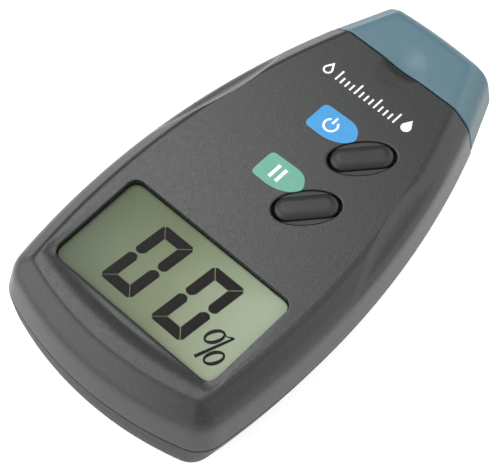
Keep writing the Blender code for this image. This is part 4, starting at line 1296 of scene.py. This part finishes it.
def clear_lens():
    """Clear plate: see-through, with a soft reflection that grows at a slant."""
    made = bpy.data.materials.new("clear_lens_look")
    made.use_nodes = True
    tree = made.node_tree
    tree.nodes.remove(tree.nodes["Principled BSDF"])
    tint = colour_ramp(tree, noise(tree, 40.0), ((0.3, (0.97, 0.98, 0.97, 1.0)),
                                                 (0.7, (1.0, 1.0, 1.0, 1.0))))
    clear = add_node(tree, "BsdfTransparent", Color=tint)
    scuffs = spread(tree, noise(tree, 300.0), 0.24, 0.25)
    shine = add_node(tree, "BsdfGlossy", Roughness=scuffs)
    bump_on(tree, shine, noise(tree, 500.0), 0.01, 0.05)
    slant = add_node(tree, "LayerWeight").outputs["Facing"]
    steep = calculated(tree, "Math", "POWER", slant, 5.0)
    both = add_node(tree, "MixShader", Fac=spread(tree, steep, 0.003, 0.5, 0.0, 1.0))
    tree.links.new(clear.outputs["BSDF"], both.inputs[1])
    tree.links.new(shine.outputs["BSDF"], both.inputs[2])
    tree.links.new(both.outputs["Shader"], tree.nodes["Material Output"].inputs["Surface"])
    return made


# ---------------------------------------------------------------- studio

CAMERA_TURN = math.radians(43.113)
CAMERA_RISE = math.radians(59.033)
CAMERA_ROLL = math.radians(0.021)
CAMERA_DISTANCE = 447.1
CAMERA_AIM = (17.164, 9.782)      # right and up of the window's middle, across the view
CAMERA_LENS = 145.02
# Softbox: (direction, distance and size in metres, power in watts)
SOFTBOX = ((-0.46, 0.26, 0.85), 0.9, 0.32, 1.5)
SKY_LEVELS = ((0.0, 1.75), (0.47, 1.7), (0.62, 0.5), (0.82, 1.3))      # (height, brightness)
# Patches of the sky: (direction, brightness, cosines where the patch begins and is full)
SKY_PATCHES = (((0.6, -0.52, 0.6), 0.6, 0.55, 0.95), ((-0.85, 0.5, 0.05), 0.3, 0.6, 0.9),
               ((-0.33, 0.68, 0.65), 0.0, 0.9, 0.97), ((-0.6, -0.7, 0.38), 2.6, 0.75, 0.95))
FLOOR_SIZE = 1500.0
FLOOR_SINK = 0.3              # the floor lies this far under the object
FLOOR_GLOW = 0.6
FLOOR_GLOW_REACH = (0.10, 0.17)   # metres from the middle, between which the glow fades out


def camera():
    across = Vector((math.cos(CAMERA_TURN), math.sin(CAMERA_TURN), 0.0))
    back = Vector((math.sin(CAMERA_TURN) * math.cos(CAMERA_RISE),
                   -math.cos(CAMERA_TURN) * math.cos(CAMERA_RISE), math.sin(CAMERA_RISE)))
    rise = back.cross(across)
    right = across * math.cos(CAMERA_ROLL) + rise * math.sin(CAMERA_ROLL)
    up = rise * math.cos(CAMERA_ROLL) - across * math.sin(CAMERA_ROLL)
    spot = Vector((WINDOW.x, WINDOW.y, TOP)) + right * CAMERA_AIM[0] + up * CAMERA_AIM[1]
    spot += back * CAMERA_DISTANCE
    data = bpy.data.cameras.new("camera")
    data.lens = CAMERA_LENS
    data.sensor_width = 36.0
    data.clip_start = 0.01
    view = bpy.data.objects.new("camera", data)
    turned = Matrix((right, up, back)).transposed().to_4x4()
    view.matrix_world = Matrix.Translation(spot * MM) @ turned
    bpy.context.scene.collection.objects.link(view)
    bpy.context.scene.camera = view


def softbox():
    towards, away, size, power = SOFTBOX
    data = bpy.data.lights.new("softbox", "AREA")
    data.shape = "RECTANGLE"
    data.size = size
    data.size_y = size
    data.energy = power
    lamp = bpy.data.objects.new("softbox", data)
    lamp.location = Vector(towards).normalized() * away
    run = Vector((0.0, 0.0, 0.02)) - lamp.location
    lamp.rotation_euler = run.to_track_quat("-Z", "Y").to_euler()
    bpy.context.scene.collection.objects.link(lamp)


def grey(brightness):
    return (brightness, brightness, brightness, 1.0)


def sky():
    """Soft studio light: bright overhead and low down, with softly darker and paler patches."""
    world = bpy.data.worlds.new("studio")
    world.use_nodes = True
    bpy.context.scene.world = world
    tree = world.node_tree
    place = add_node(tree, "TexCoord").outputs["Generated"]
    parts = add_node(tree, "SeparateXYZ", Vector=place)
    stops = [(height, grey(brightness)) for height, brightness in SKY_LEVELS]
    light = colour_ramp(tree, parts.outputs["Z"], stops)
    for direction_to, brightness, start, end in SKY_PATCHES:
        cosine = calculated(tree, "VectorMath", "DOT_PRODUCT", place,
                            Vector(direction_to).normalized())
        share = spread(tree, cosine, 0.0, 1.0, start, end)
        light = mix_colours(tree, share, light, grey(brightness))
    backdrop = tree.nodes["Background"]
    tree.links.new(light, backdrop.inputs["Color"])
    backdrop.inputs["Strength"].default_value = 1.0


def glowing_floor():
    """Pale surface that glows softly around the object."""
    made = look("floor")
    tree = made.node_tree
    away = calculated(tree, "VectorMath", "LENGTH", own_place(tree))
    pool = spread(tree, away, FLOOR_GLOW, 0.0, *FLOOR_GLOW_REACH)
    tree.links.new(pool, tree.nodes["Principled BSDF"].inputs["Emission Strength"])
    return made


def studio():
    bm = bmesh.new()
    bmesh.ops.create_grid(bm, x_segments=1, y_segments=1, size=FLOOR_SIZE)
    bmesh.ops.translate(bm, vec=(0.0, 0.0, -FLOOR_SINK), verts=bm.verts)
    floor = place_mesh("floor", bm)
    floor.data.materials.append(glowing_floor())
    sky()
    softbox()
    bpy.context.scene.view_settings.view_transform = "Standard"


def main():
    front_shell()
    rear_shell()
    battery_door()
    protective_cap()
    key_piece("power", "power_button")
    key_piece("hold", "hold_button")
    membrane()
    display()
    key_labels(TOP + PRINT_LOW, TOP + PRINT_HIGH)
    moisture_scale(TOP + PRINT_LOW, TOP + PRINT_HIGH)
    probe_pins()
    inner_pieces()
    studio()
    camera()


main()
